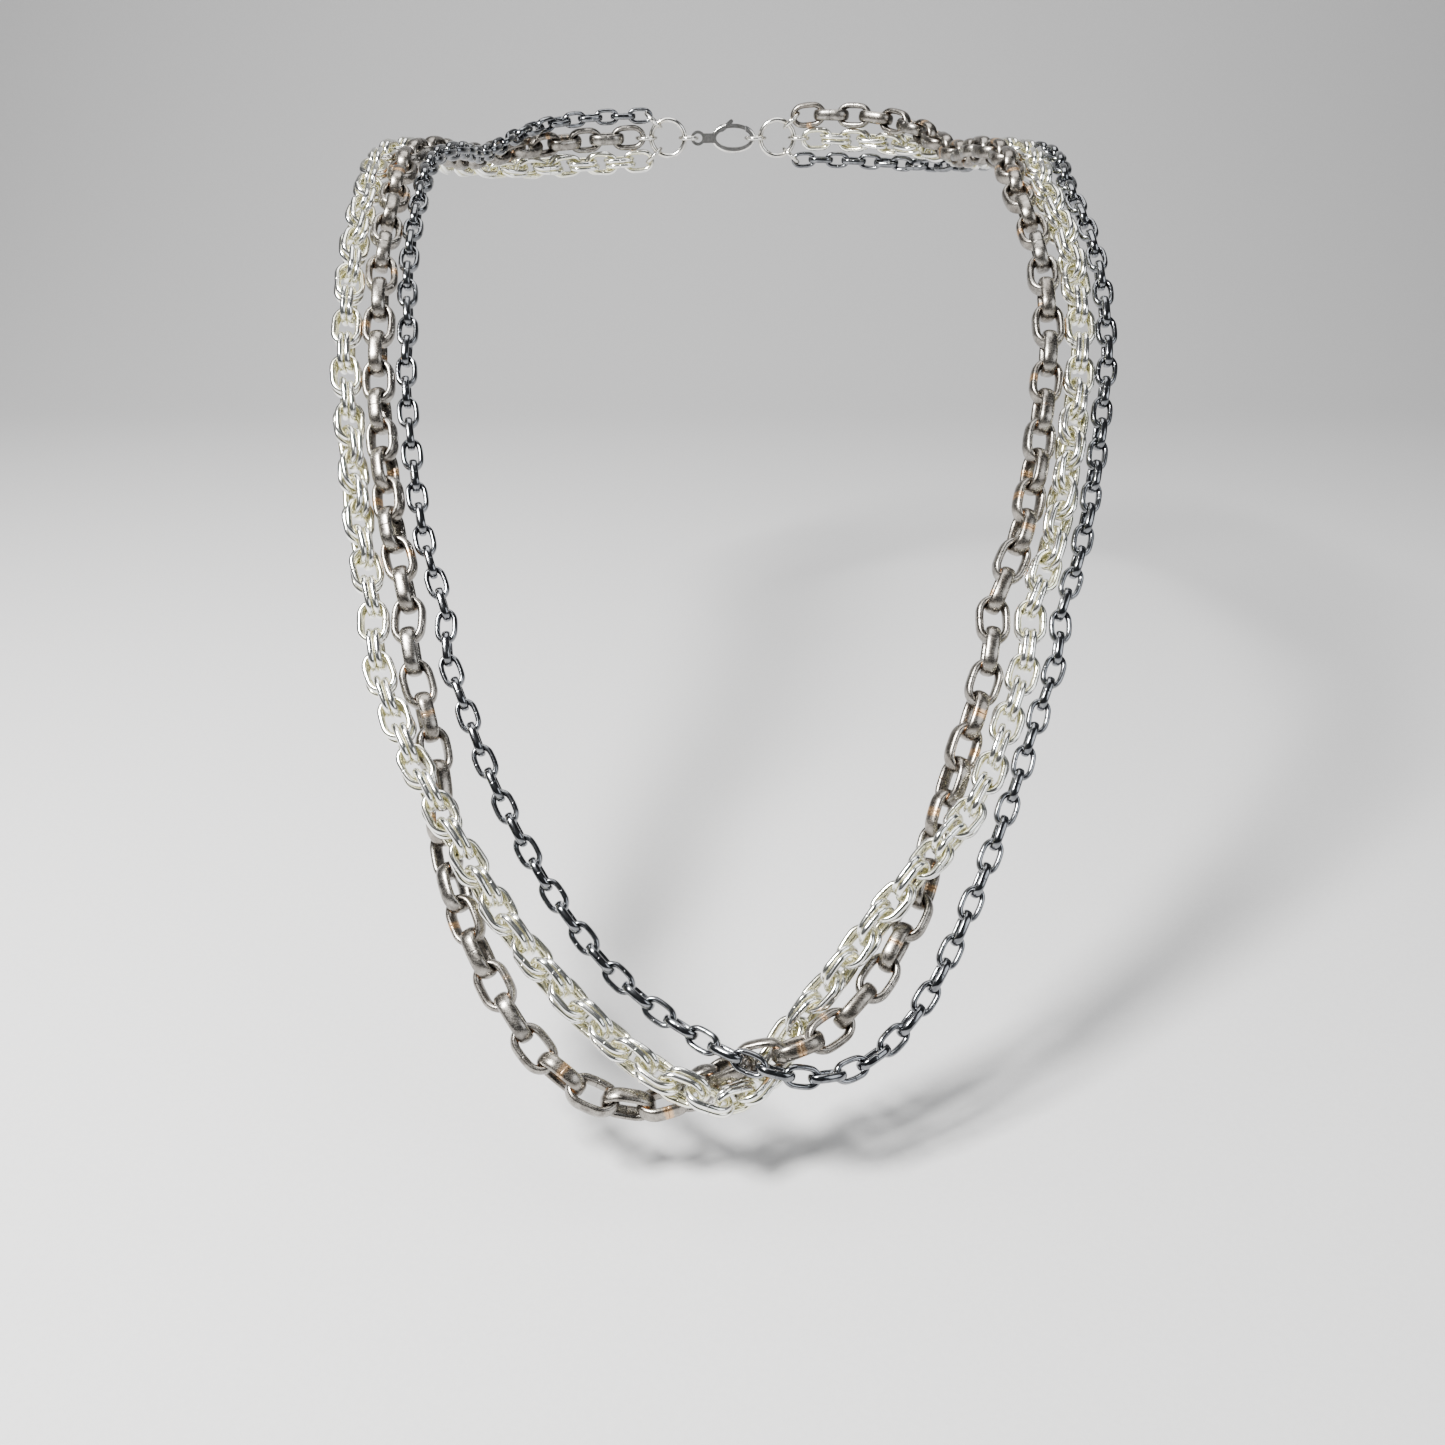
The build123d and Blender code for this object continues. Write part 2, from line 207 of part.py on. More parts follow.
        (60.45, 46.36, -3.26, -145.8, 56.2, -123.1), (61.77, 46.13, -3.87, -145.3, 56.2, -133.6), (58.68, 51.15, -3.96, -15.8, 32.2, 126.5),
        (59.64, 50.85, -2.91, -15.8, 32.3, 116.0), (57.10, 55.50, -3.66, 31.8, -33.1, 128.0), (56.02, 55.51, -2.65, 31.4, -33.6, 136.5),
        (54.18, 59.71, -2.46, 139.5, -38.9, -153.4), (52.96, 59.54, -3.24, 139.3, -38.3, -145.3), (49.44, 63.19, -1.82, -156.4, 13.5, -136.9),
        (50.27, 63.25, -3.04, -156.4, 13.5, -146.8), (45.04, 65.86, -2.22, -68.5, 30.5, 178.4), (46.30, 66.55, -1.86, -68.5, 30.5, 168.4),
        (41.38, 68.51, -2.33, 12.0, -0.3, 152.9), (40.74, 68.51, -1.00, 12.0, -0.6, 162.4), (36.70, 70.73, -1.32, 96.6, -14.8, 173.9),
        (35.70, 69.65, -1.50, 96.7, -14.5, -177.4), (30.97, 71.23, -0.51, -177.1, -1.4, -168.9), (31.29, 71.24, -1.82, -177.1, -1.4, -173.9),
        (25.92, 71.08, -1.27, -87.5, 3.1, 177.3), (25.98, 72.46, -1.21, -89.5, 2.9, 177.8),
    ]),
    "dark_crest_left": ("dark", [
        (-60.35, 10.98, -0.77, -7.4, 0.0, -90.0), (-60.62, 7.28, -0.37, 85.1, 84.9, -180.0), (-61.17, 3.62, -0.13, 177.6, 0.0, 103.2),
        (-61.98, -0.03, -0.05, -90.0, -75.6, -180.0), (-62.91, -3.65, -0.13, 2.5, 0.0, -103.4), (-63.62, -7.31, -0.37, 94.9, 79.8, 180.0),
        (-64.02, -10.98, -0.77, -172.6, 0.0, 92.5),
    ]),
    "dark_upper_left": ("dark", [
        (-64.15, -15.34, -1.44, -79.3, 90.0, 0.0), (-64.00, -19.67, -2.36, -166.7, -0.2, 87.6), (-63.97, -23.95, -3.50, 106.4, -88.1, 0.0),
        (-63.85, -28.17, -4.86, 19.4, 0.0, -88.1), (-63.74, -32.31, -6.44, -67.6, 88.3, 0.0), (-63.68, -36.36, -8.23, -154.7, 0.0, 89.5),
        (-63.65, -40.31, -10.23, 118.3, -90.0, 0.0), (-63.65, -44.16, -12.43, 31.3, 0.0, -90.0), (-63.60, -47.88, -14.84, -55.7, 89.0, 0.0),
        (-63.48, -51.47, -17.43, -142.7, 0.0, 88.7), (-63.32, -54.92, -20.20, 130.3, -86.6, 0.0), (-62.99, -58.22, -23.15, 43.3, 0.0, -84.5),
        (-62.56, -61.35, -26.25, -43.8, 84.3, 0.0), (-62.33, -64.35, -29.50, -131.4, 0.0, 88.4),
    ]),
    "dark_lower_left": ("dark", [
        (-62.25, -67.26, -32.81, -41.0, 90.0, 0.0), (-62.04, -70.23, -36.22, -131.1, -1.0, 85.5), (-61.72, -73.19, -39.63, 113.1, -82.7, -25.7),
        (-61.19, -76.14, -43.03, 48.2, 6.1, -82.2), (-60.56, -79.09, -46.42, -87.6, 77.5, 45.9), (-59.87, -82.03, -49.80, -132.7, -11.1, 81.0),
        (-59.14, -84.97, -53.18, 87.2, -74.7, -50.8), (-58.37, -87.90, -56.55, 46.8, 11.8, -79.2), (-57.48, -90.82, -59.91, -84.6, 73.6, 42.4),
        (-56.46, -93.71, -63.24, -133.3, -8.8, 75.4), (-55.19, -96.57, -66.53, 119.3, -71.5, -18.7), (-53.68, -99.37, -69.75, 47.9, 3.0, -69.7),
        (-52.25, -102.17, -72.98, -44.0, 72.2, 2.9), (-51.44, -105.04, -76.27, -131.0, 0.0, 88.2),
    ]),
    "dark_crest_right": ("dark", [
        (71.10, 10.98, -0.77, -7.4, 0.0, -90.0), (71.54, 7.32, -0.37, -94.9, 81.5, 0.0), (72.11, 3.67, -0.13, 177.5, 0.0, 76.5),
        (72.96, 0.04, -0.05, 90.0, -76.9, 0.0), (73.69, -3.62, -0.13, 2.4, 0.0, -79.1), (74.21, -7.29, -0.37, -85.1, 84.5, 0.0),
        (74.46, -10.98, -0.77, -172.6, 0.0, 89.3),
    ]),
    "dark_upper_right": ("dark", [
        (74.29, -15.33, -1.44, 100.4, 86.0, -179.7), (73.98, -19.64, -2.37, -166.3, 1.4, 94.8), (73.50, -23.91, -3.49, -114.1, -85.1, 139.7),
        (73.44, -28.14, -4.84, 19.3, -5.9, -88.5), (73.58, -32.28, -6.43, -0.4, 80.2, -67.0), (73.98, -36.32, -8.21, -153.3, 11.2, 83.0),
        (74.46, -40.26, -10.21, 179.5, -76.3, 60.5), (74.97, -44.09, -12.40, 32.7, -11.9, -83.2), (75.42, -47.81, -14.79, 10.8, 77.7, -66.0),
        (75.75, -51.40, -17.37, -142.3, 9.0, 87.1), (75.95, -54.86, -20.15, -148.7, -83.8, 81.1), (76.10, -58.18, -23.11, 43.1, -3.5, -92.3),
        (76.00, -61.33, -26.23, 46.2, 89.1, -90.0), (76.00, -64.35, -29.50, -131.4, 0.0, 90.0),
    ]),
    "dark_lower_right": ("dark", [
        (75.84, -67.26, -32.81, 139.0, 86.9, -180.0), (75.35, -70.21, -36.21, -130.8, -1.1, 100.4), (74.57, -73.17, -39.61, -18.9, -79.3, -158.3),
        (73.78, -76.11, -43.00, 50.3, 7.6, -99.5), (73.08, -79.07, -46.40, -170.8, 75.2, 130.8), (72.23, -82.02, -49.79, -128.3, -13.8, 101.2),
        (71.35, -84.95, -53.17, 12.4, -71.2, -128.2), (70.39, -87.88, -56.54, 52.3, 14.6, -102.8), (69.36, -90.80, -59.89, -175.6, 70.1, 136.4),
        (68.20, -93.69, -63.22, -128.0, -10.9, 105.2), (66.91, -96.57, -66.53, -17.1, -70.8, -157.3), (65.43, -99.40, -69.78, 50.5, 3.8, -111.0),
        (63.77, -102.18, -72.99, 142.4, 70.5, 176.8), (62.90, -105.05, -76.28, -131.0, 0.0, 93.9),
    ]),
    "dark_drop": ("dark", [
        (-51.01, -107.92, -79.59, -41.0, 83.5, 0.0), (-49.97, -110.81, -82.91, -131.0, 0.1, 67.8), (-48.25, -113.64, -86.16, 140.1, -68.2, 1.0),
        (-46.53, -116.46, -89.41, 49.3, -0.9, -69.3), (-44.86, -119.31, -92.68, -36.8, 68.1, -3.9), (-43.04, -122.11, -95.91, -130.0, 2.1, 65.8),
        (-41.12, -124.88, -99.10, 146.4, -64.1, 6.7), (-39.08, -127.62, -102.24, 50.9, -3.8, -63.4), (-36.91, -130.31, -105.34, -30.1, 60.9, -9.6),
        (-34.66, -132.97, -108.40, -127.8, 5.5, 59.9), (-32.28, -135.58, -111.41, 153.1, -57.6, 12.0), (-29.75, -138.14, -114.35, 53.8, -7.1, -55.8),
        (-27.09, -140.63, -117.22, -25.0, 52.1, -12.7), (-24.24, -143.03, -119.98, -124.2, 8.4, 51.0), (-21.27, -145.41, -122.63, 156.3, -46.8, 13.8),
        (-18.06, -147.67, -125.09, 57.5, -9.5, -43.0), (-14.59, -149.85, -127.26, -24.0, 37.7, -14.1), (-10.93, -152.00, -129.12, -123.3, 13.7, 33.8),
        (-7.15, -154.23, -130.58, 155.2, -28.2, 20.1), (-3.36, -156.72, -131.51, 52.9, -23.7, -27.1), (0.50, -159.22, -132.06, -26.0, 20.6, -26.7),
        (4.53, -161.30, -132.72, -120.4, 14.1, 20.1), (8.85, -162.45, -133.63, 154.5, -14.5, 0.2), (13.29, -162.38, -134.69, 65.6, 13.0, -8.7),
        (17.66, -161.30, -135.43, -26.8, -3.6, 20.4), (21.86, -159.47, -135.48, -122.8, -20.8, -18.5), (25.77, -157.29, -134.55, 155.8, 31.0, -18.9),
        (29.29, -154.93, -132.77, 55.6, 13.6, 42.9), (32.44, -152.46, -130.46, -20.7, -47.9, 18.1), (35.21, -149.91, -127.75, -124.7, -11.0, -55.5),
        (37.65, -147.29, -124.81, 161.9, 58.4, -20.7), (39.83, -144.57, -121.75, 53.9, 9.6, 62.9), (41.87, -141.84, -118.60, -19.1, -63.1, 19.7),
        (43.83, -139.07, -115.43, -127.4, -7.8, -65.3), (45.73, -136.29, -112.23, 156.8, 64.7, -16.1), (47.59, -133.51, -109.02, 51.5, 5.9, 66.8),
        (49.38, -130.70, -105.79, -27.1, -67.5, 12.9), (51.11, -127.87, -102.53, -129.5, -3.9, -68.5), (52.79, -125.03, -99.27, 148.2, 69.2, -8.6),
        (54.51, -122.17, -96.01, 50.1, 1.8, 73.8), (55.97, -119.31, -92.69, -36.6, -69.2, 4.1), (57.72, -116.66, -89.38, -129.7, -1.3, -75.4),
        (59.36, -113.63, -86.16, 140.1, 68.4, -1.1), (61.07, -110.80, -82.90, 48.9, 0.2, 69.2), (62.18, -107.88, -79.54, -41.0, -79.9, 0.0),
    ]),
    "dark_back_left": ("dark", [
        (-60.32, 15.35, -1.35, -110.1, -89.3, -11.6), (-60.20, 19.87, -1.92, 174.0, 1.0, -87.7), (-59.94, 24.41, -2.27, 50.6, 84.8, 36.3),
        (-59.52, 28.94, -2.39, -0.7, -6.5, 83.6), (-58.93, 33.45, -2.28, -140.3, -75.6, -52.5), (-58.14, 37.93, -1.93, -177.6, 17.5, -78.2),
        (-57.14, 42.33, -1.37, 35.4, 61.0, 60.0), (-55.90, 46.65, -0.63, -0.9, -32.9, 69.1), (-54.38, 50.86, 0.22, -147.3, -41.2, -60.7),
        (-52.49, 54.90, 1.12, 159.5, 47.1, -47.9), (-50.16, 58.70, 2.00, 27.2, 19.9, 53.2), (-47.34, 62.16, 2.77, -56.0, -45.1, 15.8),
        (-43.98, 65.13, 3.39, -162.6, -4.6, -37.1), (-40.16, 67.50, 3.85, 102.5, 27.1, -0.9), (-35.99, 69.27, 4.17, 7.6, -0.8, 19.4),
        (-31.63, 70.54, 4.39, -86.2, -13.3, -1.2), (-27.16, 71.38, 4.51, -178.3, 0.9, -8.1), (-22.57, 71.83, 4.67, 90.6, 3.0, 0.7),
    ]),
    "dark_back_right": ("dark", [
        (71.08, 15.35, -1.37, 70.2, -89.4, 169.3), (70.97, 19.84, -2.08, 171.1, -0.8, -92.0), (70.74, 24.33, -2.78, -129.1, 85.5, -149.6),
        (70.34, 28.80, -3.45, -8.9, 4.6, 96.2), (69.74, 33.26, -4.10, 40.0, -78.2, 138.8), (68.91, 37.69, -4.72, 169.6, -11.6, -102.5),
        (67.79, 42.05, -5.31, -144.5, 66.8, -135.3), (66.34, 46.32, -5.84, -15.3, 20.7, 112.5), (64.51, 50.44, -6.32, 33.2, -51.8, 136.2),
        (62.26, 54.36, -6.71, 153.6, -29.2, -128.3), (59.58, 58.00, -7.01, -149.6, 34.1, -140.6), (56.46, 61.28, -7.19, -44.8, 32.1, 149.9),
        (52.95, 64.13, -7.26, 24.8, -16.6, 148.5), (49.09, 66.50, -7.22, 115.3, -26.1, -169.5), (44.96, 68.35, -7.10, -164.0, 3.9, -159.8),
        (40.64, 69.70, -6.93, -78.5, 14.2, 179.4), (36.20, 70.64, -6.77, 7.2, 0.8, 170.1), (31.70, 71.29, -6.63, 93.8, -6.6, 178.9),
        (27.18, 71.70, -6.54, -178.3, -0.7, -176.1), (22.58, 71.92, -6.63, -89.6, 1.4, 176.6),
    ]),
    "end_rings_left": ("ring", [
        (-18.92, 72.00, 3.45, -179.8, -40.2, -179.7), (-20.97, 72.00, -1.00, -180.0, 0.0, 180.0), (-18.93, 72.00, -5.47, -179.6, 42.2, 179.7),
    ]),
    "end_rings_right": ("ring", [
        (18.91, 72.00, 3.49, 0.1, -43.2, -0.1), (20.97, 72.00, -1.01, -0.1, 0.8, -0.2), (18.91, 72.00, -5.45, -0.1, 40.2, 0.1),
    ]),
}


# ---------------------------------------------------------------- link shapes
def oval_link(length, width, radial, axial):
    """A closed oval of elliptical wire, long axis X, lying in XY."""
    r = width / 2 - radial
    st = (length - width) / 2
    with BuildPart() as link:
        with BuildLine():
            Line((0, r), (st, r))
            ThreePointArc((st, r), (st + r, 0), (st, -r))
            Line((st, -r), (-st, -r))
            ThreePointArc((-st, -r), (-st - r, 0), (-st, r))
            Line((-st, r), (0, r))
        with BuildSketch(Plane(origin=(0, r, 0), x_dir=(0, 1, 0), z_dir=(1, 0, 0))):
            Ellipse(radial, axial)
        sweep()
    return link.part


def jump_ring(radius, wire, cut=RING_CUT):
    """A round ring in XY with its saw cut on the -Y side."""
    with BuildPart() as ring:
        Torus(radius, wire)
        if cut:
            with Locations((0, -radius, 0)):
                Box(cut, 4 * wire, 4 * wire, mode=Mode.SUBTRACT)
    return ring.part


SHAPES = {
    "antique": oval_link(ANT_L, ANT_W, ANT_A, ANT_B),
    "double": oval_link(DBL_L, DBL_W, DBL_R, DBL_R),
    "dark": oval_link(DRK_L, DRK_W, DRK_A, DRK_B),
    "ring": jump_ring(RING_R, RING_WIRE),
}


def run_of(name, kind, places):
    """All the links of one run, each its own solid, as one node."""
    shape = SHAPES[kind]
    run = Compound([shape.moved(Location(p[:3], p[3:])) for p in places])
    run.label = name
    export_step(run, "parts/" + name + ".step")


for node, (kind, places) in LAYOUT.items():
    run_of(node, kind, places)


# ---------------------------------------------------------------- rings at the nape
def save(builder, name):
    builder.part.label = name
    export_step(builder.part, "parts/" + name + ".step")


for side, sign in (("left", -1), ("right", 1)):
    with BuildPart(Plane(origin=(sign * COLL_X, COLL_Y, COLL_Z), x_dir=(1, 0, 0), z_dir=(0, 1, 0))) as collector:
        Torus(COLL_R, COLL_WIRE)
    save(collector, "collector_" + side)

# where the wires of the rings next to the clasp stand, along X
COLL_INNER = COLL_X - COLL_R
LINK_STEP = COLL_WIRE + RING_WIRE + RING_GAP
CLASP_RING_X = -(COLL_INNER + LINK_STEP - CLASP_RING_R)
TAIL_RING_X = COLL_INNER + LINK_STEP - TAIL_RING_R
EYE_WIRE_X = CLASP_RING_X + CLASP_RING_R
BITE_WIRE_X = TAIL_RING_X - TAIL_RING_R

with BuildPart() as clasp_ring:
    with Locations(Location((CLASP_RING_X, COLL_Y, COLL_Z), (0, 0, 20))):
        add(jump_ring(CLASP_RING_R, RING_WIRE))
save(clasp_ring, "clasp_ring")

with BuildPart() as tail_ring:
    with Locations(Location((TAIL_RING_X, COLL_Y, COLL_Z), (0, 0, 200))):
        add(jump_ring(TAIL_RING_R, RING_WIRE))
save(tail_ring, "tail_ring")

# ---------------------------------------------------------------- the clasp
CLASP = Plane(origin=(0, COLL_Y, COLL_Z), x_dir=(1, 0, 0), z_dir=(0, -1, 0))
EYE_X = EYE_WIRE_X - RING_WIRE - EYE_PLAY + EYE_HOLE            # middle of the eye
CLAW_END = BITE_WIRE_X + RING_WIRE + CLAW_PLAY                  # claw's inner end
CLAW_X = CLAW_END - CLAW_IN[0]                                  # middle of the claw
PIVOT_X = CLAW_X - 3.2
PIVOT_Z = (CLAW_OUT[1] + CLAW_IN[1]) / 2 * sqrt(1 - (3.2 / ((CLAW_OUT[0] + CLAW_IN[0]) / 2)) ** 2)
GATE_FROM, GATE_TO = CLAW_X - 2.1, CLAW_X + 3.3

with BuildPart() as clasp_body:
    with BuildSketch(CLASP):
        with Locations((CLAW_X, 0)):
            Ellipse(*CLAW_OUT)
        with Locations(((EYE_X + CLAW_X - CLAW_OUT[0]) / 2 + 0.6, 0)):
            Rectangle(CLAW_X - CLAW_OUT[0] - EYE_X + 1.2, 2.5)
        with Locations((EYE_X, 0)):
            Circle(EYE_HOLE + 0.8)
    extrude(amount=CLASP_T / 2, both=True)
    fillet(clasp_body.edges().filter_by(GeomType.ELLIPSE), radius=0.55)
    with BuildSketch(CLASP):
        with Locations((CLAW_X, 0)):
            Ellipse(*CLAW_IN)
        with Locations((EYE_X, 0)):
            Circle(EYE_HOLE)
        with Locations(((GATE_FROM + GATE_TO) / 2, 2.9)):
            Rectangle(GATE_TO - GATE_FROM, 4.0)
    extrude(amount=CLASP_T, both=True, mode=Mode.SUBTRACT)
    # the eye is thinner than the claw
    with Locations((EYE_X - 0.9, COLL_Y + 0.8 + 1, COLL_Z), (EYE_X - 0.9, COLL_Y - 0.8 - 1, COLL_Z)):
        Box(2 * EYE_HOLE + 2.4, 2.0, 6.0, mode=Mode.SUBTRACT)
    # slot between the two ears that hold the lever
    with BuildSketch(CLASP):
        with Locations((PIVOT_X - 0.15, 2.9)):
            Rectangle(3.1, 3.6)
    extrude(amount=SLOT_T / 2, both=True, mode=Mode.SUBTRACT)
    with Locations(Location((PIVOT_X, COLL_Y, COLL_Z + PIVOT_Z), (90, 0, 0))):
        Cylinder(PIN_R + 0.01, 2 * CLASP_T, mode=Mode.SUBTRACT)
save(clasp_body, "clasp_body")

with BuildPart() as clasp_lever:
    with BuildSketch(CLASP):
        with Locations((CLAW_X, 0)):
            Ellipse(CLAW_OUT[0] - 0.2, CLAW_OUT[1] - 0.2)
            Ellipse(CLAW_IN[0] + 0.25, CLAW_IN[1] + 0.25, mode=Mode.SUBTRACT)
        with Locations(((PIVOT_X + GATE_TO - 0.1) / 2, 2.5)):
            Rectangle(GATE_TO - 0.1 - PIVOT_X, 4.0, mode=Mode.INTERSECT)
        with Locations((PIVOT_X, PIVOT_Z)):
            Circle(0.95)
        with Locations(Location((PIVOT_X + 2.0, PIVOT_Z + 1.25), -18)):
            SlotOverall(2.6, 1.1, rotation=60)
    extrude(amount=LEVER_T / 2, both=True)
    # room for the spring beside the lever's eye
    with Locations(Location((PIVOT_X, COLL_Y + 0.1 + 1.0, COLL_Z + PIVOT_Z), (90, 0, 0))):
        Cylinder(1.2, 2.0, mode=Mode.SUBTRACT)
    with Locations(Location((PIVOT_X, COLL_Y, COLL_Z + PIVOT_Z), (90, 0, 0))):
        Cylinder(PIN_R + 0.05, 2 * CLASP_T, mode=Mode.SUBTRACT)
save(clasp_lever, "clasp_lever")

with BuildPart() as lever_pin:
    with Locations(Location((PIVOT_X, COLL_Y, COLL_Z + PIVOT_Z), (90, 0, 0))):
        Cylinder(PIN_R, CLASP_T)
save(lever_pin, "lever_pin")

with BuildPart() as lever_spring:
    with BuildLine() as coil:
        Helix(pitch=0.26, height=0.26 * 1.25, radius=SPRING_R, center=(PIVOT_X, COLL_Y + 0.22, COLL_Z + PIVOT_Z), direction=(0, 1, 0))
    with BuildSketch(Plane(origin=coil.line @ 0, z_dir=coil.line % 0)):
        Circle(SPRING_WIRE)
    sweep(is_frenet=True)
    for t, back in ((0, -1), (1, 1)):
        p, d = coil.line @ t, (coil.line % t) * back
        with Locations(Plane(origin=p, z_dir=(d.X, 0, d.Z)).location):
            Cylinder(SPRING_WIRE, 0.9, align=(Align.CENTER, Align.CENTER, Align.MIN))
save(lever_spring, "lever_spring")
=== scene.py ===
import json
import math

import bpy
import numpy as np
from mathutils import Euler, Matrix, Vector


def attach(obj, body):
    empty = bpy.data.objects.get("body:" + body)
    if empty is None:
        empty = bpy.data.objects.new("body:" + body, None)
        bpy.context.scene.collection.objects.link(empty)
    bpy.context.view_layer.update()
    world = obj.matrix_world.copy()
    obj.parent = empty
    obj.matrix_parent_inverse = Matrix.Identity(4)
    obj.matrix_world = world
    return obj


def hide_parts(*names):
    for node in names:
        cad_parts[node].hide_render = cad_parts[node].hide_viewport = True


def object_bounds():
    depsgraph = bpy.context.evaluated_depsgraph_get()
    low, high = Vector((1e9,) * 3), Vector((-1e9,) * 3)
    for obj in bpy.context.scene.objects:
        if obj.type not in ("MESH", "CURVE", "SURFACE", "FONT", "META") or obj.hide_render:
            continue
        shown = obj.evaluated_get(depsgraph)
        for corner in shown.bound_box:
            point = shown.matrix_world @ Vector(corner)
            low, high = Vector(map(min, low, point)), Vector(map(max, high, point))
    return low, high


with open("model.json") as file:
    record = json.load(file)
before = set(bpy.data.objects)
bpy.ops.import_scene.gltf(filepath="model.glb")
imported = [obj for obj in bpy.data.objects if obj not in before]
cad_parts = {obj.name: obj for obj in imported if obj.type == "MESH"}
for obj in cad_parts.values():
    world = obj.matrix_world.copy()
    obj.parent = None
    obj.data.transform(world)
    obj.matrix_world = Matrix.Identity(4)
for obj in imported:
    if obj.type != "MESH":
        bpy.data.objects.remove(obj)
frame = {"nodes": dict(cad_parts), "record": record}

CAD_BOX = [list(v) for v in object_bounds()]
NODE_BODY = {n: b for b, ns in frame["record"]["behaviour"]["bodies"].items() for n in ns}

# ------------------------------------------------------------------ camera
cam_data = bpy.data.cameras.new("camera")
cam_data.sensor_width = 36.0
cam_data.lens = 36.0
cam_data.clip_start = 0.01
cam_data.clip_end = 20.0
cam = bpy.data.objects.new("camera", cam_data)
cam.location = (0.0, -0.35649, 0.02128)
cam.rotation_euler = (math.radians(65.0), 0.0, 0.0)
bpy.context.scene.collection.objects.link(cam)
bpy.context.scene.camera = cam

# ------------------------------------------------------------------ link sizes, mm
# long, wide, half the wire's radial and axial size; then the section's squareness,
# how far the loop leans from a stadium to an ellipse, and the mesh's two counts
LINKS = {
    "antique": dict(L=9.8, W=6.5, a=0.75, b=1.35, power=2.25, oval=0.38, nu=84, nv=24, groove=0.05),
    "double": dict(L=8.8, W=6.0, a=0.62, b=0.62, power=2.0, oval=0.25, nu=64, nv=16, groove=0.03),
    "dark": dict(L=7.0, W=4.3, a=0.52, b=0.75, power=2.3, oval=0.50, nu=56, nv=20, groove=0.025),
}
RINGS = {"ring": (2.60, 0.50), "coll": (4.60, 0.65), "clasp": (2.30, 0.50), "tail": (2.60, 0.50)}
RING_CUT = 0.06

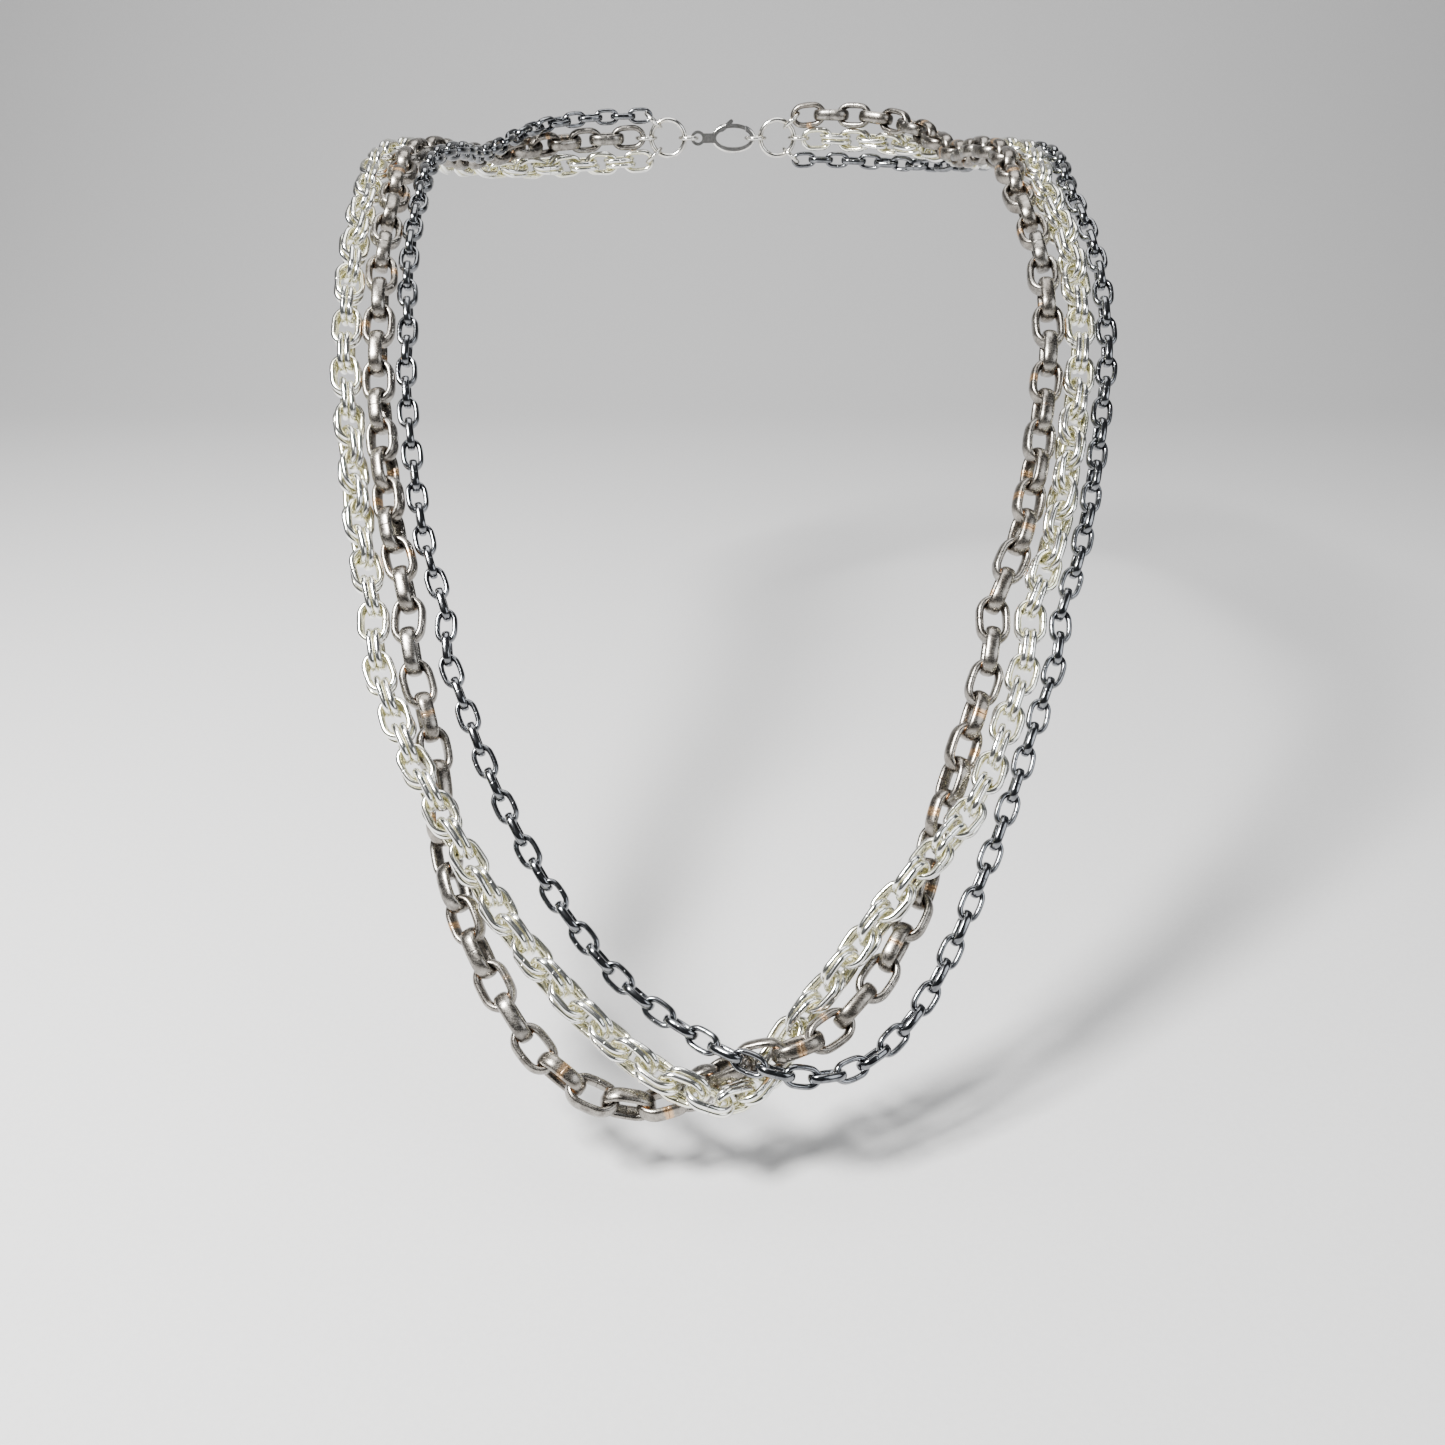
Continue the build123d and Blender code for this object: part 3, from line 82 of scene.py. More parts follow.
# where every link lies: x, y, z in mm and three turns in degrees (about X, then Y, then Z)
LAYOUT = {
    "antique_crest_left": ("antique", [
        (-66.05, 9.81, -0.67, -6.6, 0.0, -90.6), (-66.81, 4.89, -0.24, 86.7, 78.6, -180.0), (-67.91, 0.00, -0.10, 179.9, 0.0, 107.8),
        (-69.03, -4.89, -0.24, -86.7, -79.1, 180.0), (-69.79, -9.81, -0.67, 6.6, 0.0, -90.2),
    ]),
    "antique_upper_left": ("antique", [
        (-69.70, -15.84, -1.57, -79.2, 88.6, 0.4), (-69.39, -21.87, -3.01, -165.4, -2.9, 87.5), (-69.34, -27.82, -4.79, 30.3, -80.1, -78.7),
        (-69.18, -33.60, -7.04, 23.0, 16.5, -88.9), (-69.10, -39.21, -9.70, -152.5, 70.0, 90.0), (-69.05, -44.60, -12.77, -148.6, -20.0, 89.3),
        (-68.96, -49.76, -16.22, 37.7, -73.5, -88.1), (-68.63, -54.63, -20.03, 39.4, 9.5, -84.1), (-68.39, -59.24, -24.18, -90.1, 85.3, 44.3),
        (-68.10, -63.54, -28.65, -132.0, 0.0, 90.0),
    ]),
    "antique_lower_left": ("antique", [
        (-67.93, -67.60, -33.20, -41.0, 87.6, 0.0), (-67.35, -71.67, -37.94, -130.2, 3.6, 84.1), (-66.69, -75.85, -42.69, -162.1, -76.0, 58.0),
        (-65.85, -79.97, -47.44, 52.0, -20.4, -81.5), (-64.88, -84.08, -52.16, 30.1, 63.5, -69.1), (-63.83, -88.17, -56.87, -126.6, 24.6, 79.5),
        (-62.69, -92.27, -61.57, -161.2, -66.2, 57.9), (-61.02, -96.25, -66.16, 52.3, -11.7, -71.6), (-59.53, -100.24, -70.76, -25.0, 75.4, -15.6),
        (-58.50, -104.27, -75.39, -131.0, 0.0, 90.0),
    ]),
    "antique_crest_right": ("antique", [
        (59.41, 9.81, -0.67, -6.6, 0.0, -89.8), (60.13, 4.90, -0.24, -93.3, 79.7, 0.0), (61.09, -0.01, -0.09, -179.9, 0.0, 73.0),
        (62.16, -4.89, -0.24, 93.3, -79.7, 0.0), (62.85, -9.81, -0.67, 6.6, 0.0, -89.3),
    ]),
    "antique_upper_right": ("antique", [
        (62.75, -15.84, -1.56, 100.7, 87.9, -179.6), (62.34, -21.89, -2.93, -165.2, 3.5, 93.8), (62.32, -27.82, -4.79, -163.1, -80.3, 87.8),
        (62.47, -33.61, -7.06, 25.0, -16.5, -82.6), (63.24, -39.19, -9.69, 10.3, 69.1, -71.7), (63.89, -44.57, -12.75, -146.1, 19.9, 83.5),
        (64.45, -49.72, -16.19, -159.0, -72.9, 74.5), (64.58, -54.59, -20.01, 40.1, -9.5, -91.9), (64.68, -59.22, -24.16, 52.6, 86.7, -98.3),
        (64.60, -63.54, -28.65, -132.0, 0.0, 90.0),
    ]),
    "antique_lower_right": ("antique", [
        (64.23, -67.59, -33.19, 139.0, 84.9, 180.0), (63.37, -71.79, -37.96, -129.7, -4.1, 99.8), (62.34, -75.95, -42.80, 11.8, -75.3, -128.1),
        (61.26, -80.11, -47.61, 52.7, 19.4, -101.5), (59.99, -84.31, -52.42, -154.8, 62.6, 116.5), (58.54, -88.45, -57.19, -124.8, -24.1, 105.1),
        (56.79, -92.57, -61.88, 9.7, -63.6, -131.6), (54.55, -96.46, -66.43, 53.3, 11.5, -115.4), (52.05, -100.33, -70.88, 148.5, 66.7, 171.4),
        (50.40, -104.27, -75.39, -131.0, 0.0, 91.4),
    ]),
    "antique_drop": ("antique", [
        (-57.67, -108.08, -80.04, -41.0, 78.4, 2.4), (-56.15, -111.77, -85.02, -129.3, -9.9, 72.3), (-54.38, -115.40, -90.07, 93.1, -66.2, -50.4),
        (-52.77, -118.97, -95.21, 48.1, 25.5, -75.4), (-51.61, -122.78, -100.28, -113.8, 54.8, 73.5), (-50.59, -126.77, -105.30, -136.8, -40.1, 81.2),
        (-49.61, -130.99, -109.96, 55.1, -38.6, -72.5), (-47.67, -135.72, -113.99, 16.0, 50.7, -59.3), (-45.33, -140.12, -118.12, -125.4, 24.3, 63.8),
        (-42.56, -144.35, -122.14, 170.9, -58.1, 30.9), (-39.55, -148.24, -126.31, 51.4, -7.7, -60.6), (-36.07, -151.93, -130.30, -41.4, 55.9, -0.1),
        (-32.29, -155.38, -134.23, -136.3, -6.6, 49.5), (-27.52, -157.99, -137.60, 118.0, -35.2, -14.8), (-22.17, -160.11, -140.35, 26.5, 13.7, -19.3),
        (-16.09, -160.30, -142.13, -74.3, 1.8, 12.9), (-9.88, -159.78, -142.14, -172.8, 5.7, -16.3), (-4.21, -158.14, -140.42, 83.8, 12.5, 38.8),
        (1.05, -157.33, -137.05, -10.3, -30.3, -15.3), (6.57, -157.73, -134.37, -110.2, 8.1, -13.7), (12.79, -157.32, -132.43, 154.2, 19.2, -9.5),
        (18.41, -154.54, -131.16, 49.1, 15.0, 33.5), (22.95, -150.81, -128.66, -39.7, -46.8, 9.7), (27.13, -147.03, -125.57, -141.2, 1.8, -55.1),
        (30.52, -142.85, -122.02, 108.3, 57.5, 20.1), (33.67, -138.66, -118.25, 31.4, -18.5, 62.4), (36.19, -134.22, -114.24, -103.8, -54.6, -57.0),
        (37.97, -130.21, -109.41, -140.0, 36.9, -73.2), (39.84, -126.67, -104.40, 71.4, 38.2, 68.9), (41.84, -123.31, -99.29, 28.6, -54.1, 56.6),
        (43.90, -119.80, -94.26, -117.7, -22.4, -69.0), (46.03, -116.14, -89.39, -176.6, 65.4, -39.8), (48.14, -112.24, -84.68, 52.9, 7.9, 69.8),
        (49.59, -108.20, -79.91, -41.0, -80.1, 0.0),
    ]),
    "antique_back_left": ("antique", [
        (-65.95, 15.87, -1.42, -117.5, -89.1, -18.9), (-65.74, 21.79, -2.23, 172.9, 1.7, -87.0), (-65.27, 27.71, -2.86, 45.5, 82.4, 39.2),
        (-64.47, 33.61, -3.29, -4.9, -9.7, 80.5), (-63.27, 39.46, -3.53, -143.1, -68.4, -49.7), (-61.54, 45.16, -3.55, 171.8, 24.0, -68.5),
        (-59.28, 50.67, -3.44, 33.3, 46.7, 50.5), (-56.30, 55.81, -3.15, -27.5, -37.9, 44.9), (-52.59, 60.42, -2.75, -152.6, -21.1, -42.6),
        (-48.14, 64.31, -2.28, 119.1, 34.7, -12.9), (-43.10, 67.40, -1.85, 15.1, 3.0, 26.5), (-37.60, 69.61, -1.48, -81.6, -17.6, -0.6),
        (-31.82, 71.02, -1.21, -176.3, 1.4, -9.9), (-25.93, 71.73, -0.91, 90.9, 3.7, 3.5),
    ]),
    "antique_back_right": ("antique", [
        (59.35, 15.87, -1.38, 59.0, -89.1, 157.1), (59.12, 22.14, -2.05, 176.1, 5.3, -93.0), (58.65, 28.43, -2.27, -33.3, 79.7, 124.0),
        (57.85, 34.68, -2.01, 6.0, -8.9, 98.8), (56.71, 40.84, -1.29, 127.8, -76.2, -151.6), (55.15, 46.86, -0.20, -167.6, 1.5, -106.3),
        (53.03, 52.65, 1.12, -90.0, 66.4, -167.4), (50.19, 58.10, 2.42, 6.6, 10.3, 122.2), (46.27, 62.81, 3.55, 78.6, -43.0, 163.3),
        (41.46, 66.62, 4.30, 174.4, -9.3, -151.2), (35.76, 69.20, 4.84, -98.8, 18.7, -175.9), (29.67, 70.86, 4.88, -4.1, 1.1, 168.7),
        (23.42, 71.68, 4.84, 91.5, -4.5, -173.4),
    ]),
    "double_crest_left": ("double", [
        (-72.45, 10.11, -1.35, -6.9, 0.0, -92.3), (-72.45, 10.27, -0.05, -6.9, 0.0, -92.3), (-73.80, 5.43, -0.26, 86.7, 76.1, 177.3),
        (-72.62, 4.78, -0.22, 86.6, 76.0, -177.5), (-74.59, -0.27, 0.59, 179.9, 0.6, 109.8), (-74.39, 0.39, -0.75, -179.9, -0.3, 101.1),
        (-74.87, -5.32, -0.25, -86.6, -80.7, -177.5), (-76.11, -4.77, -0.22, -86.6, -80.7, 177.5), (-76.03, -10.11, -1.35, 6.9, 0.0, -91.0),
        (-76.03, -10.26, -0.05, 6.9, 0.0, -91.0),
    ]),
    "double_upper_left": ("double", [
        (-76.61, -15.70, -1.53, -79.4, 87.8, 0.3), (-75.30, -15.65, -1.52, -79.4, 87.8, 0.3), (-75.80, -20.71, -2.01, -164.7, -5.4, 85.0),
        (-75.83, -20.68, -3.35, -164.9, -5.4, 88.9), (-74.85, -25.82, -4.26, 30.7, -73.6, -72.6), (-76.14, -25.38, -3.75, 30.7, -73.6, -81.0),
        (-75.56, -30.54, -6.42, 20.3, 29.0, -83.3), (-74.95, -30.31, -5.12, 20.3, 29.0, -91.4), (-75.69, -35.04, -7.16, -152.3, 50.4, 82.1),
        (-74.65, -35.26, -8.17, -151.9, 50.3, 92.2), (-74.64, -39.68, -9.41, -151.6, -45.1, 85.2), (-75.57, -39.86, -10.54, -151.9, -45.1, 95.1),
        (-74.63, -44.28, -13.08, 31.6, -45.1, -85.0), (-75.56, -44.17, -11.94, 31.4, -45.0, -95.0), (-75.47, -48.52, -15.93, 34.4, 40.2, -84.2),
        (-74.64, -48.52, -14.71, 34.7, 40.2, -94.4), (-75.55, -52.58, -18.01, -134.3, 61.6, 79.0), (-74.33, -52.69, -18.84, -135.5, 61.5, 88.4),
        (-74.64, -56.76, -20.93, -138.3, -17.0, 82.3), (-74.95, -56.37, -22.29, -137.9, -17.2, 90.1), (-73.85, -60.35, -25.34, 64.7, -85.0, -67.9),
        (-75.17, -60.20, -25.04, 64.7, -85.0, -72.9), (-74.40, -63.31, -29.35, 48.1, 0.0, -90.0), (-74.40, -64.29, -28.48, 48.1, 0.0, -90.0),
    ]),
    "double_lower_left": ("double", [
        (-74.80, -67.51, -33.10, -41.0, 86.2, 0.0), (-73.49, -67.45, -33.03, -41.0, 86.2, 0.0), (-73.84, -71.28, -36.49, -129.9, -5.6, 82.3),
        (-73.81, -70.48, -37.57, -130.1, -5.5, 85.7), (-72.49, -74.32, -41.17, 76.5, -71.9, -58.5), (-73.82, -74.29, -40.56, 76.5, -71.9, -66.0),
        (-72.71, -77.44, -45.45, 45.9, 28.6, -77.2), (-72.18, -77.84, -44.16, 45.9, 28.6, -84.9), (-72.27, -81.22, -48.20, -118.7, 49.4, 71.0),
        (-71.15, -80.90, -49.06, -118.7, 49.4, 81.4), (-70.51, -84.51, -51.96, -139.4, -44.6, 72.5), (-71.32, -84.35, -53.16, -139.4, -44.6, 82.0),
        (-69.58, -87.63, -56.93, 58.7, -44.2, -71.7), (-70.62, -87.98, -55.96, 58.9, -44.2, -81.2), (-69.56, -91.07, -60.96, 40.7, 39.7, -71.8),
        (-68.85, -91.28, -59.68, 40.4, 39.7, -81.7), (-68.78, -94.61, -63.91, -105.0, 58.5, 58.1), (-67.47, -94.40, -64.56, -106.5, 58.8, 67.5),
        (-66.87, -98.12, -67.26, -133.6, -17.0, 71.1), (-67.10, -97.62, -68.62, -133.3, -17.2, 78.5), (-65.03, -101.14, -71.87, 120.1, -75.4, -15.8),
        (-66.38, -101.20, -71.78, 120.1, -75.4, -20.9), (-65.04, -104.03, -76.11, 49.0, 0.0, -86.3), (-65.04, -105.02, -75.25, 49.0, 0.0, -86.3),
    ]),
    "double_crest_right": ("double", [
        (65.84, 10.11, -1.35, -6.9, 0.0, -87.8), (65.84, 10.27, -0.05, -6.9, 0.0, -87.8), (65.82, 5.13, -0.24, -93.4, 77.8, -2.5),
        (67.17, 5.07, -0.24, -93.4, 77.8, 2.5), (67.69, -0.31, 0.58, 180.0, -0.1, 81.1), (67.53, 0.38, -0.74, 179.9, 0.2, 71.7),
        (69.28, -5.13, -0.24, 93.4, -80.9, 2.5), (67.93, -4.99, -0.23, 93.4, -80.9, -2.5), (69.11, -10.11, -1.35, 6.9, 0.0, -88.6),
        (69.11, -10.26, -0.05, 6.9, 0.0, -88.6),
    ]),
    "double_upper_right": ("double", [
        (68.30, -15.63, -1.51, 100.6, 86.3, -179.7), (69.61, -15.71, -1.53, 100.6, 86.3, -179.7), (68.73, -20.69, -1.99, -163.9, -4.5, 92.5),
        (68.72, -20.67, -3.37, -164.5, -4.3, 96.0), (68.97, -25.88, -4.30, 13.3, -74.0, -90.4), (67.74, -25.33, -3.74, 13.3, -74.0, -99.2),
        (68.09, -30.56, -6.42, 19.4, 29.9, -81.7), (68.65, -30.32, -5.10, 19.4, 29.9, -90.9), (68.20, -35.08, -7.21, -147.6, 49.9, 75.1),
        (69.28, -35.22, -8.16, -147.2, 49.7, 85.4), (69.67, -39.63, -9.38, -158.4, -44.8, 75.6), (68.83, -39.88, -10.54, -158.4, -44.8, 85.2),
        (70.35, -44.20, -13.03, 37.9, -44.6, -76.0), (69.34, -44.19, -11.95, 37.9, -44.6, -85.7), (69.97, -48.51, -15.92, 30.6, 40.1, -78.4),
        (70.75, -48.45, -14.66, 30.9, 40.1, -88.6), (70.11, -52.55, -17.99, -134.3, 61.5, 79.1), (71.34, -52.66, -18.79, -135.7, 61.5, 88.2),
        (70.94, -56.72, -20.90, -137.2, -17.5, 86.5), (70.64, -56.34, -22.28, -136.7, -17.7, 94.8), (71.45, -60.35, -25.34, 45.2, -85.3, -87.5),
        (70.15, -60.18, -25.02, 45.2, -85.3, -92.5), (70.80, -63.31, -29.35, 48.1, 0.0, -90.0), (70.80, -64.29, -28.48, 48.1, 0.0, -90.0),
    ]),
    "double_lower_right": ("double", [
        (69.78, -67.43, -33.01, 139.0, 84.4, 180.0), (71.09, -67.52, -33.11, 139.0, 84.4, 180.0), (69.96, -71.33, -36.56, -128.5, -4.7, 96.6),
        (69.92, -70.51, -37.63, -128.8, -4.7, 99.9), (69.48, -74.50, -41.40, 20.8, -71.3, -116.3), (68.36, -74.24, -40.51, 20.8, -71.3, -123.5),
        (67.69, -77.48, -45.52, 55.2, 27.8, -97.8), (68.40, -78.01, -44.39, 55.2, 27.8, -104.1), (66.64, -81.27, -48.27, -140.3, 50.3, 99.4),
        (67.59, -81.17, -49.34, -140.2, 50.2, 110.2), (66.62, -84.84, -52.35, -117.8, -43.8, 102.6), (65.57, -84.43, -53.25, -117.8, -43.8, 112.0),
        (65.36, -87.97, -57.30, 36.8, -43.9, -103.5), (64.58, -88.10, -56.09, 36.8, -43.9, -113.0), (63.21, -91.19, -61.09, 61.7, 38.4, -104.0),
        (64.20, -91.66, -60.13, 61.8, 38.4, -114.1), (61.75, -94.67, -63.98, -158.2, 58.2, 119.2), (62.72, -94.85, -65.05, -158.7, 58.0, 127.0),
        (60.79, -98.38, -67.60, -123.2, -15.3, 109.1), (60.17, -97.71, -68.74, -122.9, -15.3, 115.7), (59.06, -101.50, -72.29, -29.7, -67.3, -167.2),
        (58.00, -101.03, -71.60, -29.6, -67.4, -172.5), (57.33, -104.03, -76.11, 49.0, 0.0, -95.0), (57.33, -105.02, -75.25, 49.0, 0.0, -95.0),
    ]),
    "double_drop": ("double", [
        (-64.76, -108.30, -79.82, -41.0, 79.5, -2.1), (-63.47, -108.15, -79.64, -41.0, 79.5, -2.1), (-63.02, -111.92, -82.53, -135.9, 1.6, 67.7),
        (-63.04, -111.27, -83.73, -135.8, 1.9, 76.3), (-60.47, -115.05, -86.40, 135.3, -68.2, 7.3), (-61.95, -114.91, -86.30, 135.3, -68.2, -2.7),
        (-59.12, -118.19, -90.16, 41.9, 0.1, -61.0), (-59.40, -118.59, -88.76, 41.9, 0.1, -71.0), (-57.91, -121.77, -92.57, -61.4, 64.3, 8.8),
        (-56.47, -121.78, -92.50, -61.7, 64.7, 17.2), (-54.93, -125.09, -94.96, -137.7, -5.4, 56.4), (-54.80, -124.64, -96.34, -137.4, -5.6, 65.1),
        (-51.63, -127.99, -98.65, 116.8, -60.0, -10.3), (-53.20, -128.17, -98.54, 111.5, -60.0, -23.7), (-49.90, -130.55, -102.73, 42.9, 12.7, -53.1),
        (-49.92, -131.03, -101.36, 42.9, 12.7, -62.9), (-47.94, -134.05, -104.99, -74.6, 51.4, 24.6), (-46.39, -133.36, -105.33, -66.0, 55.1, 31.3),
        (-44.59, -136.19, -108.16, -134.5, -24.0, 52.0), (-44.88, -135.62, -109.48, -133.7, -24.8, 60.7), (-41.37, -137.94, -112.63, 101.6, -48.1, -31.8),
        (-42.72, -138.48, -112.31, 101.6, -48.1, -41.8), (-39.31, -140.33, -116.62, 36.5, 25.3, -46.3), (-39.15, -140.70, -115.20, 36.5, 25.3, -56.3),
        (-36.94, -143.20, -119.02, -84.2, 41.5, 30.7), (-35.65, -142.57, -119.37, -84.5, 41.6, 40.8), (-33.08, -145.37, -121.52, -153.5, -26.5, 39.3),
        (-33.22, -145.19, -122.98, -153.5, -26.6, 49.3), (-29.24, -147.34, -125.34, 90.7, -36.1, -28.9), (-30.48, -148.06, -124.96, 90.7, -36.1, -38.9),
        (-26.50, -150.10, -128.64, 18.3, 26.5, -33.0), (-26.41, -150.14, -127.16, 18.3, 26.5, -43.0), (-23.44, -152.93, -130.22, -92.5, 31.8, 25.1),
        (-22.24, -152.16, -130.58, -92.7, 32.0, 34.8), (-19.10, -154.87, -131.91, -169.4, -22.9, 28.8), (-19.09, -154.99, -133.38, -169.3, -23.3, 38.8),
        (-14.55, -156.93, -134.74, 86.2, -29.1, -17.7), (-15.75, -157.75, -134.42, 86.2, -29.1, -27.7), (-10.94, -159.76, -136.96, 5.6, 16.2, -24.1),
        (-11.12, -159.51, -135.51, 5.8, 16.6, -33.4), (-7.17, -162.09, -137.69, -92.1, 16.4, 13.3), (-6.02, -161.05, -137.45, -92.9, 15.5, 20.4),
        (-2.34, -162.99, -138.52, 178.8, -20.6, 2.2), (-2.11, -162.31, -139.99, -177.0, -18.3, 5.2), (2.06, -160.17, -140.50, 100.8, 30.3, -7.8),
        (2.25, -161.65, -140.25, 99.0, 29.5, -18.1), (6.24, -157.88, -140.21, 5.1, -21.2, 51.6), (5.34, -158.33, -139.19, 4.7, -20.8, 49.3),
        (9.36, -155.29, -137.95, -106.4, -31.2, -54.3), (8.38, -154.22, -137.57, -104.4, -32.8, -43.0), (10.62, -152.39, -134.36, -144.8, 25.1, -53.3),
        (12.35, -152.05, -134.87, -147.4, 33.9, -46.1), (14.24, -149.78, -130.56, 91.0, 30.0, 49.5), (14.53, -151.12, -131.09, 91.3, 29.5, 40.1),
        (17.97, -148.10, -127.51, 24.3, -34.9, 40.6), (16.85, -149.03, -127.04, 24.6, -34.9, 34.2), (20.78, -147.29, -124.23, -88.1, -35.4, -45.4),
        (20.45, -145.94, -123.73, -88.0, -35.1, -35.6), (23.15, -144.98, -120.37, -149.8, 29.7, -50.0), (24.23, -144.11, -120.89, -150.1, 29.6, -40.1),
        (26.57, -141.72, -117.03, 97.5, 39.5, 42.0), (26.98, -143.02, -117.63, 97.5, 39.5, 32.0), (30.43, -139.79, -114.34, 34.4, -24.3, 50.2),
        (29.45, -140.75, -113.80, 34.3, -24.3, 40.1), (33.35, -139.02, -110.91, -74.6, -43.4, -30.4), (32.69, -137.74, -110.25, -69.3, -45.2, -28.8),
        (36.22, -136.52, -107.64, -146.2, 15.0, -48.5), (37.01, -135.56, -108.35, -146.2, 15.0, -40.1), (39.79, -133.19, -104.62, 100.3, 46.1, 23.9),
        (40.45, -134.14, -105.86, 107.5, 45.6, 16.0), (43.55, -130.16, -103.08, 37.4, -6.5, 55.9), (42.87, -131.20, -102.33, 37.5, -6.8, 48.7),
        (46.27, -127.97, -100.24, -61.4, -59.7, -15.4), (45.48, -126.96, -99.52, -61.5, -59.3, -6.1), (48.00, -124.87, -96.64, -139.8, 5.0, -70.3),
        (48.38, -123.57, -97.22, -140.0, 5.4, -62.5), (49.68, -120.45, -93.37, 125.0, 68.4, 13.7), (50.64, -121.31, -94.11, 125.0, 68.4, 3.7),
        (51.98, -116.88, -90.60, 46.3, -1.7, 76.2), (51.78, -118.25, -90.07, 44.2, -1.8, 68.0), (54.06, -114.79, -87.30, -45.1, -70.5, -7.6),
        (53.05, -114.03, -86.50, -45.1, -70.5, 2.4), (55.21, -111.88, -83.07, -131.8, 0.1, -71.8), (55.39, -110.68, -83.72, -131.7, 0.5, -68.7),
        (55.73, -108.02, -79.71, 139.0, 80.4, 0.0), (57.02, -108.17, -79.87, 139.0, 80.4, 0.0),
    ]),
    "double_back_left": ("double", [
        (-71.60, 15.69, -1.43, -113.8, -89.2, -14.7), (-72.91, 15.70, -1.43, -113.8, -89.2, -14.7), (-72.13, 20.63, -1.56, 170.9, 1.0, -90.0),
        (-72.09, 20.77, -2.90, 170.9, 1.0, -85.0), (-72.41, 26.09, -3.12, 49.7, 84.4, 36.2), (-71.16, 25.31, -2.93, 49.7, 84.4, 26.2),
        (-71.12, 30.91, -4.51, -9.8, -5.8, 87.4), (-71.36, 30.46, -3.12, -10.1, -5.8, 77.6), (-69.83, 35.17, -4.39, -140.3, -75.7, -45.6),
        (-70.97, 36.04, -4.74, -141.4, -75.9, -36.3), (-69.50, 40.32, -4.67, 166.7, 13.9, -79.3), (-68.99, 40.68, -6.00, 167.0, 14.1, -69.1),
        (-68.15, 45.73, -6.29, 35.1, 62.3, 47.5), (-67.22, 44.74, -5.71, 35.4, 62.0, 37.7), (-65.26, 49.95, -7.29, -20.4, -23.5, 65.3),
        (-66.08, 49.78, -6.08, -21.1, -23.4, 56.2), (-62.86, 53.62, -6.75, -147.5, -45.1, -45.3), (-63.42, 54.69, -7.59, -147.9, -45.2, -35.2),
        (-60.61, 58.28, -7.18, 142.7, 29.4, -45.3), (-59.51, 58.09, -8.13, 142.8, 29.7, -35.0), (-56.57, 62.22, -8.40, 28.1, 25.4, 38.0),
        (-56.51, 61.21, -7.34, 28.2, 25.1, 28.9), (-51.88, 64.42, -8.37, -57.5, -27.6, 22.3), (-53.06, 65.05, -7.76, -57.7, -27.4, 13.2),
        (-48.29, 66.78, -7.38, -160.1, -9.3, -28.6), (-47.90, 67.52, -8.59, -160.3, -9.5, -18.2), (-43.85, 69.47, -7.77, 105.1, 16.2, -7.9),
        (-42.83, 68.45, -8.06, 105.0, 16.5, 2.5), (-38.16, 70.44, -8.33, 9.8, 0.2, 16.1), (-38.82, 70.06, -7.07, 9.7, -0.2, 6.6),
        (-33.04, 70.48, -7.53, -84.7, -7.6, 3.1), (-33.91, 71.68, -7.44, -84.7, -7.6, -6.9), (-28.65, 71.56, -6.58, -177.3, 3.0, -7.0),
        (-28.24, 71.65, -7.87, -177.3, 3.0, -2.0), (-23.32, 72.57, -6.98, 89.9, 1.3, 4.9), (-23.30, 71.19, -6.97, 91.4, 2.0, 4.7),
    ]),
    "double_back_right": ("double", [
        (66.31, 15.71, -1.41, 63.3, -89.2, 162.1), (65.00, 15.69, -1.40, 63.3, -89.2, 162.1), (65.54, 20.75, -1.45, 172.7, -1.4, -94.8),
        (65.49, 20.93, -2.79, 172.7, -1.3, -90.0), (64.50, 26.28, -2.69, -133.6, 83.9, -137.2), (65.86, 25.70, -2.73, -132.5, 83.8, -148.4),
        (64.51, 31.40, -3.81, -5.2, 7.3, 102.6), (64.76, 30.83, -2.47, -5.0, 7.3, 92.5), (64.45, 36.08, -3.60, 40.1, -71.9, 129.2),
        (63.07, 36.46, -3.28, 39.0, -72.4, 137.5), (62.98, 41.02, -2.91, 173.4, -18.1, -110.8), (62.44, 41.50, -4.19, 172.9, -17.8, -101.9),
        (60.45, 46.36, -3.26, -145.8, 56.2, -123.1), (61.77, 46.13, -3.87, -145.3, 56.2, -133.6), (58.68, 51.15, -3.96, -15.8, 32.2, 126.5),
        (59.64, 50.85, -2.91, -15.8, 32.3, 116.0), (57.10, 55.50, -3.66, 31.8, -33.1, 128.0), (56.02, 55.51, -2.65, 31.4, -33.6, 136.5),
        (54.18, 59.71, -2.46, 139.5, -38.9, -153.4), (52.96, 59.54, -3.24, 139.3, -38.3, -145.3), (49.44, 63.19, -1.82, -156.4, 13.5, -136.9),
        (50.27, 63.25, -3.04, -156.4, 13.5, -146.8), (45.04, 65.86, -2.22, -68.5, 30.5, 178.4), (46.30, 66.55, -1.86, -68.5, 30.5, 168.4),
        (41.38, 68.51, -2.33, 12.0, -0.3, 152.9), (40.74, 68.51, -1.00, 12.0, -0.6, 162.4), (36.70, 70.73, -1.32, 96.6, -14.8, 173.9),
        (35.70, 69.65, -1.50, 96.7, -14.5, -177.4), (30.97, 71.23, -0.51, -177.1, -1.4, -168.9), (31.29, 71.24, -1.82, -177.1, -1.4, -173.9),
        (25.92, 71.08, -1.27, -87.5, 3.1, 177.3), (25.98, 72.46, -1.21, -89.5, 2.9, 177.8),
    ]),
    "dark_crest_left": ("dark", [
        (-60.35, 10.98, -0.77, -7.4, 0.0, -90.0), (-60.62, 7.28, -0.37, 85.1, 84.9, -180.0), (-61.17, 3.62, -0.13, 177.6, 0.0, 103.2),
